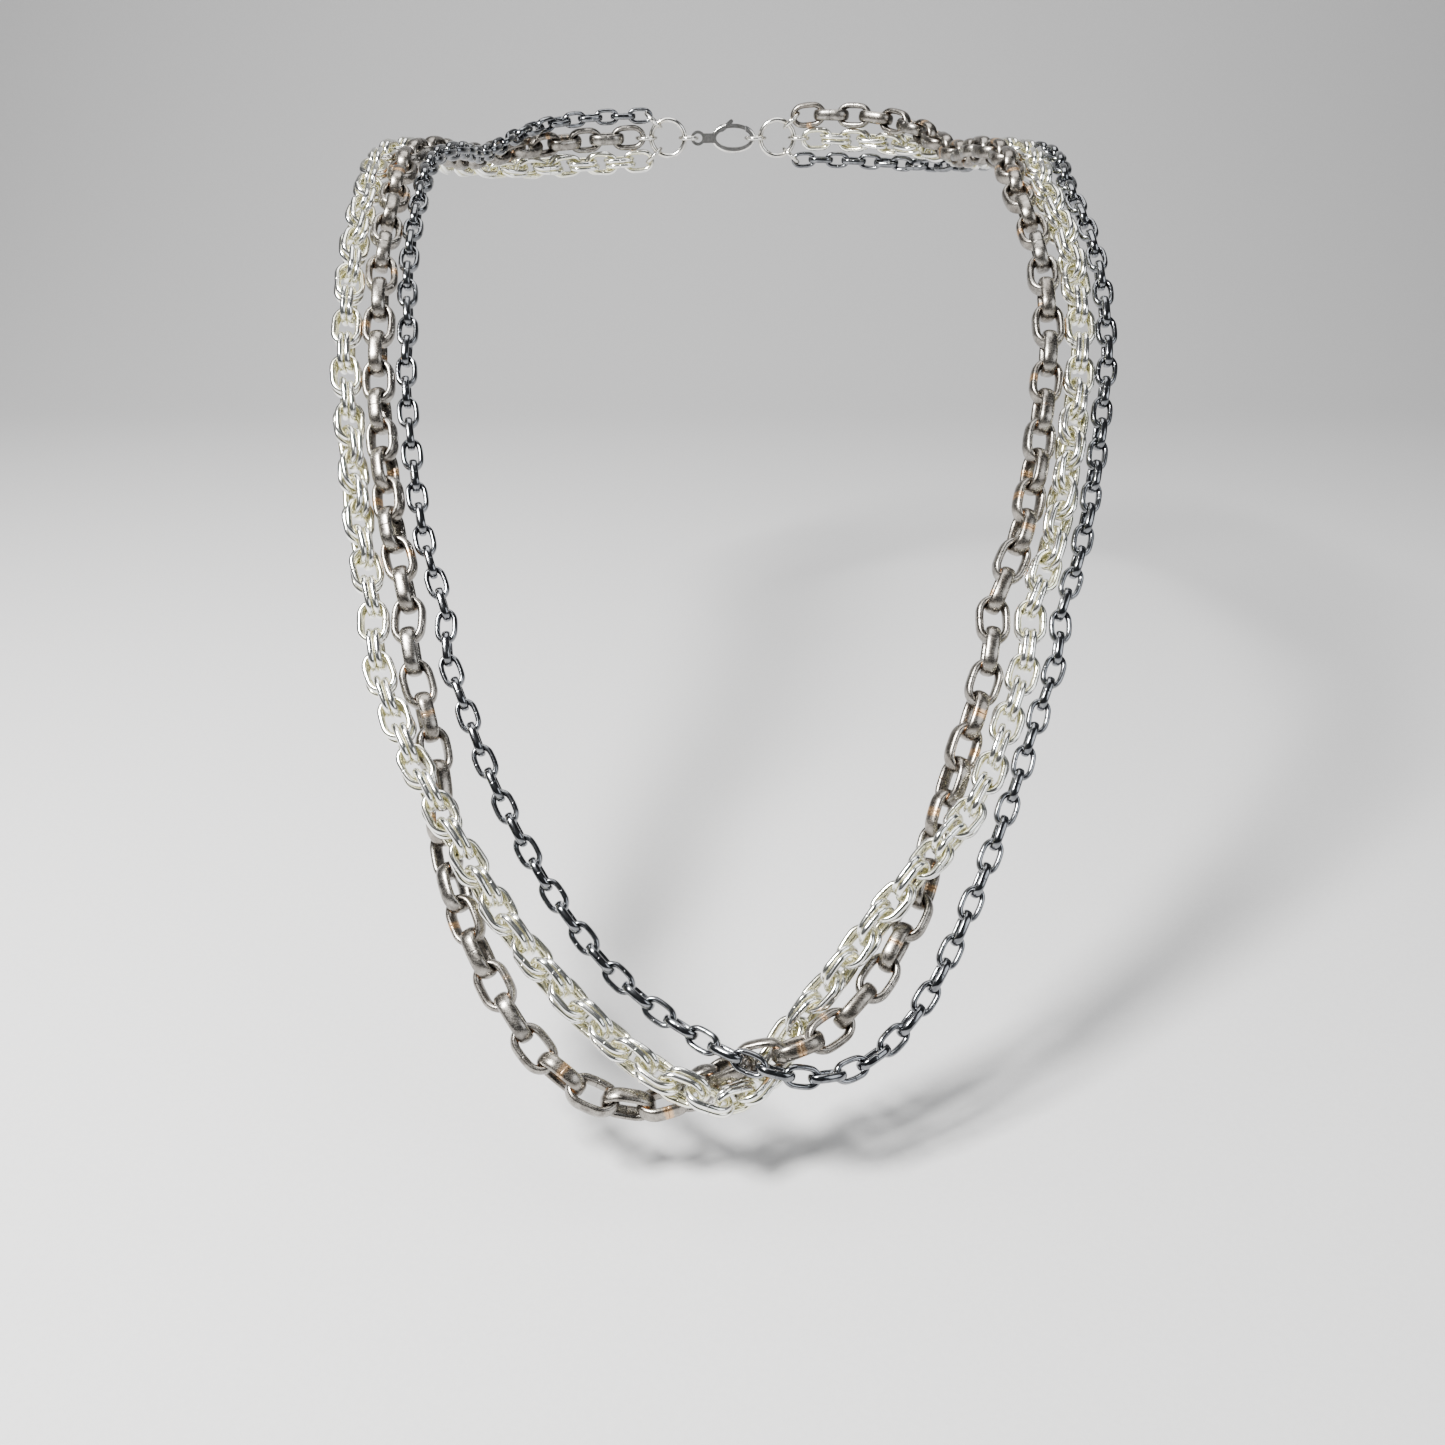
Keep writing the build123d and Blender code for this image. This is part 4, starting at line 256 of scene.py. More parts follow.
        (-61.98, -0.03, -0.05, -90.0, -75.6, -180.0), (-62.91, -3.65, -0.13, 2.5, 0.0, -103.4), (-63.62, -7.31, -0.37, 94.9, 79.8, 180.0),
        (-64.02, -10.98, -0.77, -172.6, 0.0, 92.5),
    ]),
    "dark_upper_left": ("dark", [
        (-64.15, -15.34, -1.44, -79.3, 90.0, 0.0), (-64.00, -19.67, -2.36, -166.7, -0.2, 87.6), (-63.97, -23.95, -3.50, 106.4, -88.1, 0.0),
        (-63.85, -28.17, -4.86, 19.4, 0.0, -88.1), (-63.74, -32.31, -6.44, -67.6, 88.3, 0.0), (-63.68, -36.36, -8.23, -154.7, 0.0, 89.5),
        (-63.65, -40.31, -10.23, 118.3, -90.0, 0.0), (-63.65, -44.16, -12.43, 31.3, 0.0, -90.0), (-63.60, -47.88, -14.84, -55.7, 89.0, 0.0),
        (-63.48, -51.47, -17.43, -142.7, 0.0, 88.7), (-63.32, -54.92, -20.20, 130.3, -86.6, 0.0), (-62.99, -58.22, -23.15, 43.3, 0.0, -84.5),
        (-62.56, -61.35, -26.25, -43.8, 84.3, 0.0), (-62.33, -64.35, -29.50, -131.4, 0.0, 88.4),
    ]),
    "dark_lower_left": ("dark", [
        (-62.25, -67.26, -32.81, -41.0, 90.0, 0.0), (-62.04, -70.23, -36.22, -131.1, -1.0, 85.5), (-61.72, -73.19, -39.63, 113.1, -82.7, -25.7),
        (-61.19, -76.14, -43.03, 48.2, 6.1, -82.2), (-60.56, -79.09, -46.42, -87.6, 77.5, 45.9), (-59.87, -82.03, -49.80, -132.7, -11.1, 81.0),
        (-59.14, -84.97, -53.18, 87.2, -74.7, -50.8), (-58.37, -87.90, -56.55, 46.8, 11.8, -79.2), (-57.48, -90.82, -59.91, -84.6, 73.6, 42.4),
        (-56.46, -93.71, -63.24, -133.3, -8.8, 75.4), (-55.19, -96.57, -66.53, 119.3, -71.5, -18.7), (-53.68, -99.37, -69.75, 47.9, 3.0, -69.7),
        (-52.25, -102.17, -72.98, -44.0, 72.2, 2.9), (-51.44, -105.04, -76.27, -131.0, 0.0, 88.2),
    ]),
    "dark_crest_right": ("dark", [
        (71.10, 10.98, -0.77, -7.4, 0.0, -90.0), (71.54, 7.32, -0.37, -94.9, 81.5, 0.0), (72.11, 3.67, -0.13, 177.5, 0.0, 76.5),
        (72.96, 0.04, -0.05, 90.0, -76.9, 0.0), (73.69, -3.62, -0.13, 2.4, 0.0, -79.1), (74.21, -7.29, -0.37, -85.1, 84.5, 0.0),
        (74.46, -10.98, -0.77, -172.6, 0.0, 89.3),
    ]),
    "dark_upper_right": ("dark", [
        (74.29, -15.33, -1.44, 100.4, 86.0, -179.7), (73.98, -19.64, -2.37, -166.3, 1.4, 94.8), (73.50, -23.91, -3.49, -114.1, -85.1, 139.7),
        (73.44, -28.14, -4.84, 19.3, -5.9, -88.5), (73.58, -32.28, -6.43, -0.4, 80.2, -67.0), (73.98, -36.32, -8.21, -153.3, 11.2, 83.0),
        (74.46, -40.26, -10.21, 179.5, -76.3, 60.5), (74.97, -44.09, -12.40, 32.7, -11.9, -83.2), (75.42, -47.81, -14.79, 10.8, 77.7, -66.0),
        (75.75, -51.40, -17.37, -142.3, 9.0, 87.1), (75.95, -54.86, -20.15, -148.7, -83.8, 81.1), (76.10, -58.18, -23.11, 43.1, -3.5, -92.3),
        (76.00, -61.33, -26.23, 46.2, 89.1, -90.0), (76.00, -64.35, -29.50, -131.4, 0.0, 90.0),
    ]),
    "dark_lower_right": ("dark", [
        (75.84, -67.26, -32.81, 139.0, 86.9, -180.0), (75.35, -70.21, -36.21, -130.8, -1.1, 100.4), (74.57, -73.17, -39.61, -18.9, -79.3, -158.3),
        (73.78, -76.11, -43.00, 50.3, 7.6, -99.5), (73.08, -79.07, -46.40, -170.8, 75.2, 130.8), (72.23, -82.02, -49.79, -128.3, -13.8, 101.2),
        (71.35, -84.95, -53.17, 12.4, -71.2, -128.2), (70.39, -87.88, -56.54, 52.3, 14.6, -102.8), (69.36, -90.80, -59.89, -175.6, 70.1, 136.4),
        (68.20, -93.69, -63.22, -128.0, -10.9, 105.2), (66.91, -96.57, -66.53, -17.1, -70.8, -157.3), (65.43, -99.40, -69.78, 50.5, 3.8, -111.0),
        (63.77, -102.18, -72.99, 142.4, 70.5, 176.8), (62.90, -105.05, -76.28, -131.0, 0.0, 93.9),
    ]),
    "dark_drop": ("dark", [
        (-51.01, -107.92, -79.59, -41.0, 83.5, 0.0), (-49.97, -110.81, -82.91, -131.0, 0.1, 67.8), (-48.25, -113.64, -86.16, 140.1, -68.2, 1.0),
        (-46.53, -116.46, -89.41, 49.3, -0.9, -69.3), (-44.86, -119.31, -92.68, -36.8, 68.1, -3.9), (-43.04, -122.11, -95.91, -130.0, 2.1, 65.8),
        (-41.12, -124.88, -99.10, 146.4, -64.1, 6.7), (-39.08, -127.62, -102.24, 50.9, -3.8, -63.4), (-36.91, -130.31, -105.34, -30.1, 60.9, -9.6),
        (-34.66, -132.97, -108.40, -127.8, 5.5, 59.9), (-32.28, -135.58, -111.41, 153.1, -57.6, 12.0), (-29.75, -138.14, -114.35, 53.8, -7.1, -55.8),
        (-27.09, -140.63, -117.22, -25.0, 52.1, -12.7), (-24.24, -143.03, -119.98, -124.2, 8.4, 51.0), (-21.27, -145.41, -122.63, 156.3, -46.8, 13.8),
        (-18.06, -147.67, -125.09, 57.5, -9.5, -43.0), (-14.59, -149.85, -127.26, -24.0, 37.7, -14.1), (-10.93, -152.00, -129.12, -123.3, 13.7, 33.8),
        (-7.15, -154.23, -130.58, 155.2, -28.2, 20.1), (-3.36, -156.72, -131.51, 52.9, -23.7, -27.1), (0.50, -159.22, -132.06, -26.0, 20.6, -26.7),
        (4.53, -161.30, -132.72, -120.4, 14.1, 20.1), (8.85, -162.45, -133.63, 154.5, -14.5, 0.2), (13.29, -162.38, -134.69, 65.6, 13.0, -8.7),
        (17.66, -161.30, -135.43, -26.8, -3.6, 20.4), (21.86, -159.47, -135.48, -122.8, -20.8, -18.5), (25.77, -157.29, -134.55, 155.8, 31.0, -18.9),
        (29.29, -154.93, -132.77, 55.6, 13.6, 42.9), (32.44, -152.46, -130.46, -20.7, -47.9, 18.1), (35.21, -149.91, -127.75, -124.7, -11.0, -55.5),
        (37.65, -147.29, -124.81, 161.9, 58.4, -20.7), (39.83, -144.57, -121.75, 53.9, 9.6, 62.9), (41.87, -141.84, -118.60, -19.1, -63.1, 19.7),
        (43.83, -139.07, -115.43, -127.4, -7.8, -65.3), (45.73, -136.29, -112.23, 156.8, 64.7, -16.1), (47.59, -133.51, -109.02, 51.5, 5.9, 66.8),
        (49.38, -130.70, -105.79, -27.1, -67.5, 12.9), (51.11, -127.87, -102.53, -129.5, -3.9, -68.5), (52.79, -125.03, -99.27, 148.2, 69.2, -8.6),
        (54.51, -122.17, -96.01, 50.1, 1.8, 73.8), (55.97, -119.31, -92.69, -36.6, -69.2, 4.1), (57.72, -116.66, -89.38, -129.7, -1.3, -75.4),
        (59.36, -113.63, -86.16, 140.1, 68.4, -1.1), (61.07, -110.80, -82.90, 48.9, 0.2, 69.2), (62.18, -107.88, -79.54, -41.0, -79.9, 0.0),
    ]),
    "dark_back_left": ("dark", [
        (-60.32, 15.35, -1.35, -110.1, -89.3, -11.6), (-60.20, 19.87, -1.92, 174.0, 1.0, -87.7), (-59.94, 24.41, -2.27, 50.6, 84.8, 36.3),
        (-59.52, 28.94, -2.39, -0.7, -6.5, 83.6), (-58.93, 33.45, -2.28, -140.3, -75.6, -52.5), (-58.14, 37.93, -1.93, -177.6, 17.5, -78.2),
        (-57.14, 42.33, -1.37, 35.4, 61.0, 60.0), (-55.90, 46.65, -0.63, -0.9, -32.9, 69.1), (-54.38, 50.86, 0.22, -147.3, -41.2, -60.7),
        (-52.49, 54.90, 1.12, 159.5, 47.1, -47.9), (-50.16, 58.70, 2.00, 27.2, 19.9, 53.2), (-47.34, 62.16, 2.77, -56.0, -45.1, 15.8),
        (-43.98, 65.13, 3.39, -162.6, -4.6, -37.1), (-40.16, 67.50, 3.85, 102.5, 27.1, -0.9), (-35.99, 69.27, 4.17, 7.6, -0.8, 19.4),
        (-31.63, 70.54, 4.39, -86.2, -13.3, -1.2), (-27.16, 71.38, 4.51, -178.3, 0.9, -8.1), (-22.57, 71.83, 4.67, 90.6, 3.0, 0.7),
    ]),
    "dark_back_right": ("dark", [
        (71.08, 15.35, -1.37, 70.2, -89.4, 169.3), (70.97, 19.84, -2.08, 171.1, -0.8, -92.0), (70.74, 24.33, -2.78, -129.1, 85.5, -149.6),
        (70.34, 28.80, -3.45, -8.9, 4.6, 96.2), (69.74, 33.26, -4.10, 40.0, -78.2, 138.8), (68.91, 37.69, -4.72, 169.6, -11.6, -102.5),
        (67.79, 42.05, -5.31, -144.5, 66.8, -135.3), (66.34, 46.32, -5.84, -15.3, 20.7, 112.5), (64.51, 50.44, -6.32, 33.2, -51.8, 136.2),
        (62.26, 54.36, -6.71, 153.6, -29.2, -128.3), (59.58, 58.00, -7.01, -149.6, 34.1, -140.6), (56.46, 61.28, -7.19, -44.8, 32.1, 149.9),
        (52.95, 64.13, -7.26, 24.8, -16.6, 148.5), (49.09, 66.50, -7.22, 115.3, -26.1, -169.5), (44.96, 68.35, -7.10, -164.0, 3.9, -159.8),
        (40.64, 69.70, -6.93, -78.5, 14.2, 179.4), (36.20, 70.64, -6.77, 7.2, 0.8, 170.1), (31.70, 71.29, -6.63, 93.8, -6.6, 178.9),
        (27.18, 71.70, -6.54, -178.3, -0.7, -176.1), (22.58, 71.92, -6.63, -89.6, 1.4, 176.6),
    ]),
    "end_rings_left": ("ring", [
        (-18.92, 72.00, 3.45, -179.8, -40.2, -179.7), (-20.97, 72.00, -1.00, -180.0, 0.0, 180.0), (-18.93, 72.00, -5.47, -179.6, 42.2, 179.7),
    ]),
    "end_rings_right": ("ring", [
        (18.91, 72.00, 3.49, 0.1, -43.2, -0.1), (20.97, 72.00, -1.01, -0.1, 0.8, -0.2), (18.91, 72.00, -5.45, -0.1, 40.2, 0.1),
    ]),
}


LAYOUT["collector_left"] = ("coll", [(-15.0, 72.0, -1.0, 90.0, 0.0, 0.0)])
LAYOUT["collector_right"] = ("coll", [(15.0, 72.0, -1.0, 90.0, 0.0, 0.0)])
LAYOUT["clasp_ring"] = ("clasp", [(-9.33, 72.0, -1.0, 0.0, 0.0, 20.0)])
LAYOUT["tail_ring"] = ("tail", [(9.03, 72.0, -1.0, 0.0, 0.0, 200.0)])


# ------------------------------------------------------------------ meshes
def loop_line(spec, u):
    """Centre line of an oval link at u (0..1, from the middle of its +Y side)."""
    L, W, a = spec["L"], spec["W"], spec["a"]
    r, st = W / 2 - a, (L - W) / 2
    per = 4 * st + 2 * math.pi * r
    q = (u % 1.0) * per
    x = np.where(q < st, q, 0.0)
    y = np.where(q < st, r, 0.0)
    t = (q - st) / r
    m = (q >= st) & (q < st + math.pi * r)
    x = np.where(m, st + r * np.sin(t), x)
    y = np.where(m, r * np.cos(t), y)
    m = (q >= st + math.pi * r) & (q < 3 * st + math.pi * r)
    x = np.where(m, 2 * st + math.pi * r - q, x)
    y = np.where(m, -r, y)
    t = (q - 3 * st - math.pi * r) / r
    m = (q >= 3 * st + math.pi * r) & (q < 3 * st + 2 * math.pi * r)
    x = np.where(m, -st - r * np.sin(t), x)
    y = np.where(m, -r * np.cos(t), y)
    m = q >= 3 * st + 2 * math.pi * r
    x = np.where(m, q - per, x)
    y = np.where(m, r, y)
    ex, ey = L / 2 - a, W / 2 - a
    th = np.arctan2(y / ey, x / ex)
    k = spec["oval"]
    return np.stack([(1 - k) * x + k * ex * np.cos(th), (1 - k) * y + k * ey * np.sin(th)], -1), per


def grid_faces(nu, nv, closed=True):
    i = np.arange(nu if closed else nu - 1)
    j = np.arange(nv)
    I, J = np.meshgrid(i, j, indexing="ij")
    I2, J2 = (I + 1) % nu, (J + 1) % nv
    return np.stack([I * nv + J, I2 * nv + J, I2 * nv + J2, I * nv + J2], -1).reshape(-1, 4)


def oval_template(spec):
    """Vertices, faces and per-vertex marks of one link, long axis X, lying in XY."""
    per = loop_line(spec, np.zeros(1))[1]
    u = np.arange(spec["nu"]) / spec["nu"]
    s = np.array([-0.14, -0.07, -0.035, 0.035, 0.07, 0.14]) / per      # extra rings at the seam
    u = np.sort(np.concatenate([u, s % 1.0]))
    P = loop_line(spec, u)[0]
    e = 1e-4
    T = loop_line(spec, u + e)[0] - loop_line(spec, u - e)[0]
    T /= np.linalg.norm(T, axis=1)[:, None]
    N = np.stack([-T[:, 1], T[:, 0]], 1)
    flip = np.sign((N * P).sum(1))
    N = N * flip[:, None]
    ph = 2 * math.pi * np.arange(spec["nv"]) / spec["nv"]
    p = 2.0 / spec["power"]
    c = np.sign(np.cos(ph)) * np.abs(np.cos(ph)) ** p
    s_ = np.sign(np.sin(ph)) * np.abs(np.sin(ph)) ** p
    away = np.minimum(u, 1 - u) * per
    thin = spec["groove"] * np.exp(-(away / 0.05) ** 2)                # the butt seam
    ra = spec["a"] - thin
    rb = spec["b"] - thin
    V = np.zeros((len(u), len(ph), 3))
    V[:, :, :2] = P[:, None, :] + N[:, None, :] * (ra[:, None] * c[None, :])[:, :, None]
    V[:, :, 2] = rb[:, None] * s_[None, :]
    inner = np.broadcast_to((0.5 - 0.5 * np.cos(ph))[None, :], V.shape[:2])
    seam = np.broadcast_to(np.exp(-(away / 0.9) ** 2)[:, None], V.shape[:2])
    cut = np.broadcast_to(np.exp(-(away / 0.06) ** 2)[:, None], V.shape[:2])
    edge = np.broadcast_to((np.abs(np.sin(2 * ph)) ** 2)[None, :], V.shape[:2])
    F = grid_faces(len(u), len(ph))
    a_, b_, c_ = V.reshape(-1, 3)[F[0, 0]], V.reshape(-1, 3)[F[0, 1]], V.reshape(-1, 3)[F[0, 3]]
    if np.dot(np.cross(b_ - a_, c_ - a_), a_ - np.append(P[0], 0)) < 0:
        F = F[:, ::-1]
    return V.reshape(-1, 3), F, inner.reshape(-1), seam.reshape(-1), cut.reshape(-1), edge.reshape(-1)


def ring_template(R, r, cut, nu=96, nv=24):
    """A round ring in XY; with a cut it is an open wire whose ends face each other on the -Y side."""
    gap = cut / R
    if cut:
        chamfer = 0.10 * r
        th = -math.pi / 2 + gap / 2 + (2 * math.pi - gap) * np.linspace(0, 1, nu)
        th = np.concatenate([[th[0]], [th[0] + chamfer / R], th[1:-1], [th[-1] - chamfer / R], [th[-1]]])
        rad = np.full(len(th), r)
        rad[0] = rad[-1] = r - chamfer
    else:
        th = 2 * math.pi * np.arange(nu) / nu
        rad = np.full(nu, r)
    ph = 2 * math.pi * np.arange(nv) / nv
    V = np.zeros((len(th), nv, 3))
    q = R + rad[:, None] * np.cos(ph)[None, :]
    V[:, :, 0] = q * np.cos(th)[:, None]
    V[:, :, 1] = q * np.sin(th)[:, None]
    V[:, :, 2] = rad[:, None] * np.sin(ph)[None, :]
    F = grid_faces(len(th), nv, not cut)
    V = V.reshape(-1, 3)
    a_, b_, c_ = V[F[0, 0]], V[F[0, 1]], V[F[0, 3]]
    mid = np.array([R * math.cos(th[0]), R * math.sin(th[0]), 0])
    if np.dot(np.cross(b_ - a_, c_ - a_), a_ - mid) < 0:
        F = F[:, ::-1]
    inner = np.tile(0.5 - 0.5 * np.cos(ph), len(th))
    caps = []
    if cut:
        first, last = np.arange(nv), np.arange(nv) + (len(th) - 1) * nv
        back = np.array([math.sin(th[0]), -math.cos(th[0]), 0])       # out of the first end
        n0 = np.cross(V[first[1]] - V[first[0]], V[first[2]] - V[first[0]])
        caps = [first if np.dot(n0, back) > 0 else first[::-1]]
        caps.append(last[::-1] if np.dot(n0, back) > 0 else last)
    z = np.zeros(len(V))
    return V, F, inner, z, z, z, caps


def turn(rx, ry, rz):
    m = (Matrix.Rotation(math.radians(rx), 3, "X") @ Matrix.Rotation(math.radians(ry), 3, "Y")
         @ Matrix.Rotation(math.radians(rz), 3, "Z"))
    return np.array(m)


def gap_field(kind, p):
    """How far points (in a link's own axes) lie from its wire, mm."""
    if kind in LINKS:
        s = LINKS[kind]
        a, b, L, W = s["a"], s["b"], s["L"], s["W"]
        r, st = W / 2 - a, (L - W) / 2
    else:
        r, a = RINGS[kind]
        b, st = a, 0.0
    x, y, z = p[:, 0], p[:, 1], p[:, 2]
    dx = x - np.clip(x, -st, st)
    q = np.hypot(dx, y) + 1e-9
    rad = q - r
    F = np.sqrt((rad / a) ** 2 + (z / b) ** 2) + 1e-9
    g = np.sqrt((rad / a ** 2) ** 2 + (z / b ** 2) ** 2) + 1e-9
    near = (F - 1) * F / g
    far = np.hypot(rad, z) - min(a, b)
    return np.where(near < 0.6, near, np.maximum(near, far * 0.8))


TEMPLATE = {k: oval_template(s) + ([],) for k, s in LINKS.items()}
for k, (R, r) in RINGS.items():
    TEMPLATE[k] = ring_template(R, r, 0.0 if k == "coll" else RING_CUT)

ALL = []                     # kind, centre, turn of every link, to find who touches whom
for node, (kind, places) in LAYOUT.items():
    for p in places:
        ALL.append((kind, np.array(p[:3]), turn(*p[3:]), node))
CENTRES = np.array([a[1] for a in ALL])
rng = np.random.RandomState(7)
RANDOM = rng.rand(len(ALL), 3)


def build_node(node, start):
    kind, places = LAYOUT[node]
    V0, F0, inner, seam, cut, edge, caps = TEMPLATE[kind]
    nV, nF = len(V0), len(F0)
    verts, wear_and_shade, mark, polys = [], [], [], []
    for k in range(len(places)):
        _, c, R, _ = ALL[start + k]
        V = V0 @ R.T + c
        near = np.full(nV, 9.0)
        for j in np.nonzero(np.linalg.norm(CENTRES - c, axis=1) < 10.5)[0]:
            if j == start + k:
                continue
            kj, cj, Rj, _ = ALL[j]
            near = np.minimum(near, gap_field(kj, (V - cj) @ Rj))
        rub = np.clip(1 - (near - 0.05) / 0.55, 0, 1) ** 1.5
        # cave: closeness to other parts within 2.4 mm; the silver and ring materials paint shade from it, the antique
        # its dark patina
        cave = np.clip(1 - near / 2.4, 0, 1)
        verts.append(V)
        wear_and_shade.append(np.stack([rub, cave, inner], 1))
        mark.append(np.stack([seam, np.full(nV, RANDOM[start + k, 0]), cut], 1))
    V = np.concatenate(verts) * 0.001
    F = np.concatenate([F0 + k * nV for k in range(len(places))])
    me = bpy.data.meshes.new(node + "_mesh")
    extra = [cap + k * nV for k in range(len(places)) for cap in caps]
    loops = np.concatenate([F.reshape(-1)] + extra) if extra else F.reshape(-1)
    sizes = np.concatenate([np.full(len(F), 4), np.array([len(e) for e in extra], int)]) if extra else np.full(len(F), 4)
    starts = np.concatenate([[0], np.cumsum(sizes)[:-1]])
    me.vertices.add(len(V))
    me.vertices.foreach_set("co", V.astype(np.float32).reshape(-1))
    me.loops.add(len(loops))
    me.loops.foreach_set("vertex_index", loops.astype(np.int32))
    me.polygons.add(len(sizes))
    me.polygons.foreach_set("loop_start", starts.astype(np.int32))
    smooth = np.ones(len(sizes), bool)
    smooth[len(F):] = False
    me.polygons.foreach_set("use_smooth", smooth)
    me.update(calc_edges=True)
    me.validate()
    for name, data in (("wear_and_shade", np.concatenate(wear_and_shade)), ("mark", np.concatenate(mark))):
        at = me.attributes.new(name, "FLOAT_VECTOR", "POINT")
        at.data.foreach_set("vector", data.astype(np.float32).reshape(-1))
    ob = bpy.data.objects.new(node + "_links" if kind in LINKS else node + "_wire", me)
    bpy.context.scene.collection.objects.link(ob)
    return ob


# ------------------------------------------------------------------ materials
class Nodes:
    """Small helper that keeps the node trees readable."""

    def __init__(self, name):
        self.mat = bpy.data.materials.new(name)
        self.mat.use_nodes = True
        self.t = self.mat.node_tree
        self.t.nodes.clear()
        self.out = self.t.nodes.new("ShaderNodeOutputMaterial")
        self.b = self.t.nodes.new("ShaderNodeBsdfPrincipled")
        self.t.links.new(self.b.outputs[0], self.out.inputs["Surface"])
        co = self.t.nodes.new("ShaderNodeTexCoord")
        mp = self.t.nodes.new("ShaderNodeMapping")
        mp.inputs["Scale"].default_value = (1000, 1000, 1000)          # metres to mm
        self.t.links.new(co.outputs["Object"], mp.inputs["Vector"])
        self.mm = mp.outputs["Vector"]

    def put(self, sock, v):
        if isinstance(v, bpy.types.NodeSocket):
            self.t.links.new(v, sock)
        else:
            sock.default_value = v

    def noise(self, scale, detail=3.0, rough=0.55, vec=None, distort=0.0):
        n = self.t.nodes.new("ShaderNodeTexNoise")
        n.inputs["Scale"].default_value = scale
        n.inputs["Detail"].default_value = detail
        n.inputs["Roughness"].default_value = rough
        n.inputs["Distortion"].default_value = distort
        self.t.links.new(vec or self.mm, n.inputs["Vector"])
        return n.outputs["Fac"]

    def ramp(self, v, lo, hi, a=0.0, b=1.0):
        n = self.t.nodes.new("ShaderNodeMapRange")
        n.interpolation_type = "SMOOTHSTEP"
        self.put(n.inputs["Value"], v)
        for key, val in (("From Min", lo), ("From Max", hi), ("To Min", a), ("To Max", b)):
            self.put(n.inputs[key], val)
        return n.outputs["Result"]

    def math(self, op, a, b=0.0, clamp=False):
        n = self.t.nodes.new("ShaderNodeMath")
        n.operation = op
        n.use_clamp = clamp
        self.put(n.inputs[0], a)
        self.put(n.inputs[1], b)
        return n.outputs[0]

    def mix(self, f, a, b):
        n = self.t.nodes.new("ShaderNodeMix")
        n.data_type = "RGBA"
        n.clamp_factor = True
        self.put(n.inputs[0], f)
        self.put(n.inputs[6], a if isinstance(a, bpy.types.NodeSocket) else (*a, 1.0))
        self.put(n.inputs[7], b if isinstance(b, bpy.types.NodeSocket) else (*b, 1.0))
        return n.outputs[2]

    def attr(self, name):
        n = self.t.nodes.new("ShaderNodeAttribute")
        n.attribute_name = name
        s = self.t.nodes.new("ShaderNodeSeparateXYZ")
        self.t.links.new(n.outputs["Vector"], s.inputs[0])
        return s.outputs[0], s.outputs[1], s.outputs[2]

    def stretched(self, x, y, z):
        mp = self.t.nodes.new("ShaderNodeMapping")
        mp.inputs["Scale"].default_value = (x, y, z)
        self.t.links.new(self.mm, mp.inputs["Vector"])
        return mp.outputs["Vector"]

    def bump(self, height, strength, dist_mm):
        n = self.t.nodes.new("ShaderNodeBump")
        n.inputs["Strength"].default_value = strength
        n.inputs["Distance"].default_value = dist_mm * 0.001
        self.put(n.inputs["Height"], height)
        return n.outputs["Normal"]


def antique_material():
    m = Nodes("antique_pewter")
    rub, cave, inside = m.attr("wear_and_shade")
    seam, rnd, cut = m.attr("mark")
    blotch = m.noise(0.55, 4, 0.6)
    grain = m.noise(5.5, 5, 0.65)
    fine = m.noise(16.0, 3, 0.6)
    scratch = m.noise(3.2, 4, 0.7, vec=m.stretched(0.35, 1.6, 1.6))
    tone = m.math("ADD", m.math("MULTIPLY", blotch, 0.75), m.math("MULTIPLY", grain, 0.35))
    base = m.mix(m.ramp(tone, 0.40, 0.70), (0.125, 0.117, 0.108), (0.37, 0.352, 0.322))
    base = m.mix(m.math("MULTIPLY", rnd, 0.35), base, (0.25, 0.212, 0.170))
    # brass and copper show where links rub and at the butt seams
    show = m.math("MAXIMUM", m.math("MULTIPLY", rub, 0.9), m.math("MULTIPLY", seam, m.ramp(rnd, 0.35, 0.75)))
    show = m.ramp(m.math("ADD", show, m.math("MULTIPLY", m.math("SUBTRACT", blotch, 0.5), 1.3)), 0.30, 0.85, 0.0, 0.9)
    base = m.mix(show, base, m.mix(m.ramp(grain, 0.35, 0.65), (0.62, 0.345, 0.165), (0.70, 0.50, 0.30)))
    # dark patina stays in the hollows
    dirt = m.math("MULTIPLY", m.math("MULTIPLY", cave, inside), m.ramp(grain, 0.35, 0.7))
    base = m.mix(m.math("MULTIPLY", dirt, 0.8), base, (0.05, 0.044, 0.040))
    base = m.mix(m.math("MULTIPLY", cut, 0.9), base, (0.03, 0.026, 0.024))
    m.put(m.b.inputs["Base Color"], base)
    m.put(m.b.inputs["Metallic"], 1.0)
    rough = m.ramp(m.math("ADD", m.math("MULTIPLY", grain, 0.6), m.math("MULTIPLY", scratch, 0.5)), 0.38, 0.72, 0.19, 0.36)
    rough = m.math("SUBTRACT", rough, m.math("MULTIPLY", rub, 0.06))
    m.put(m.b.inputs["Roughness"], rough)
    h = m.math("ADD", m.math("MULTIPLY", grain, 0.7), m.math("ADD", m.math("MULTIPLY", fine, 0.25), m.math("MULTIPLY", scratch, 0.5)))
    m.put(m.b.inputs["Normal"], m.bump(h, 0.35, 0.055))
    return m.mat


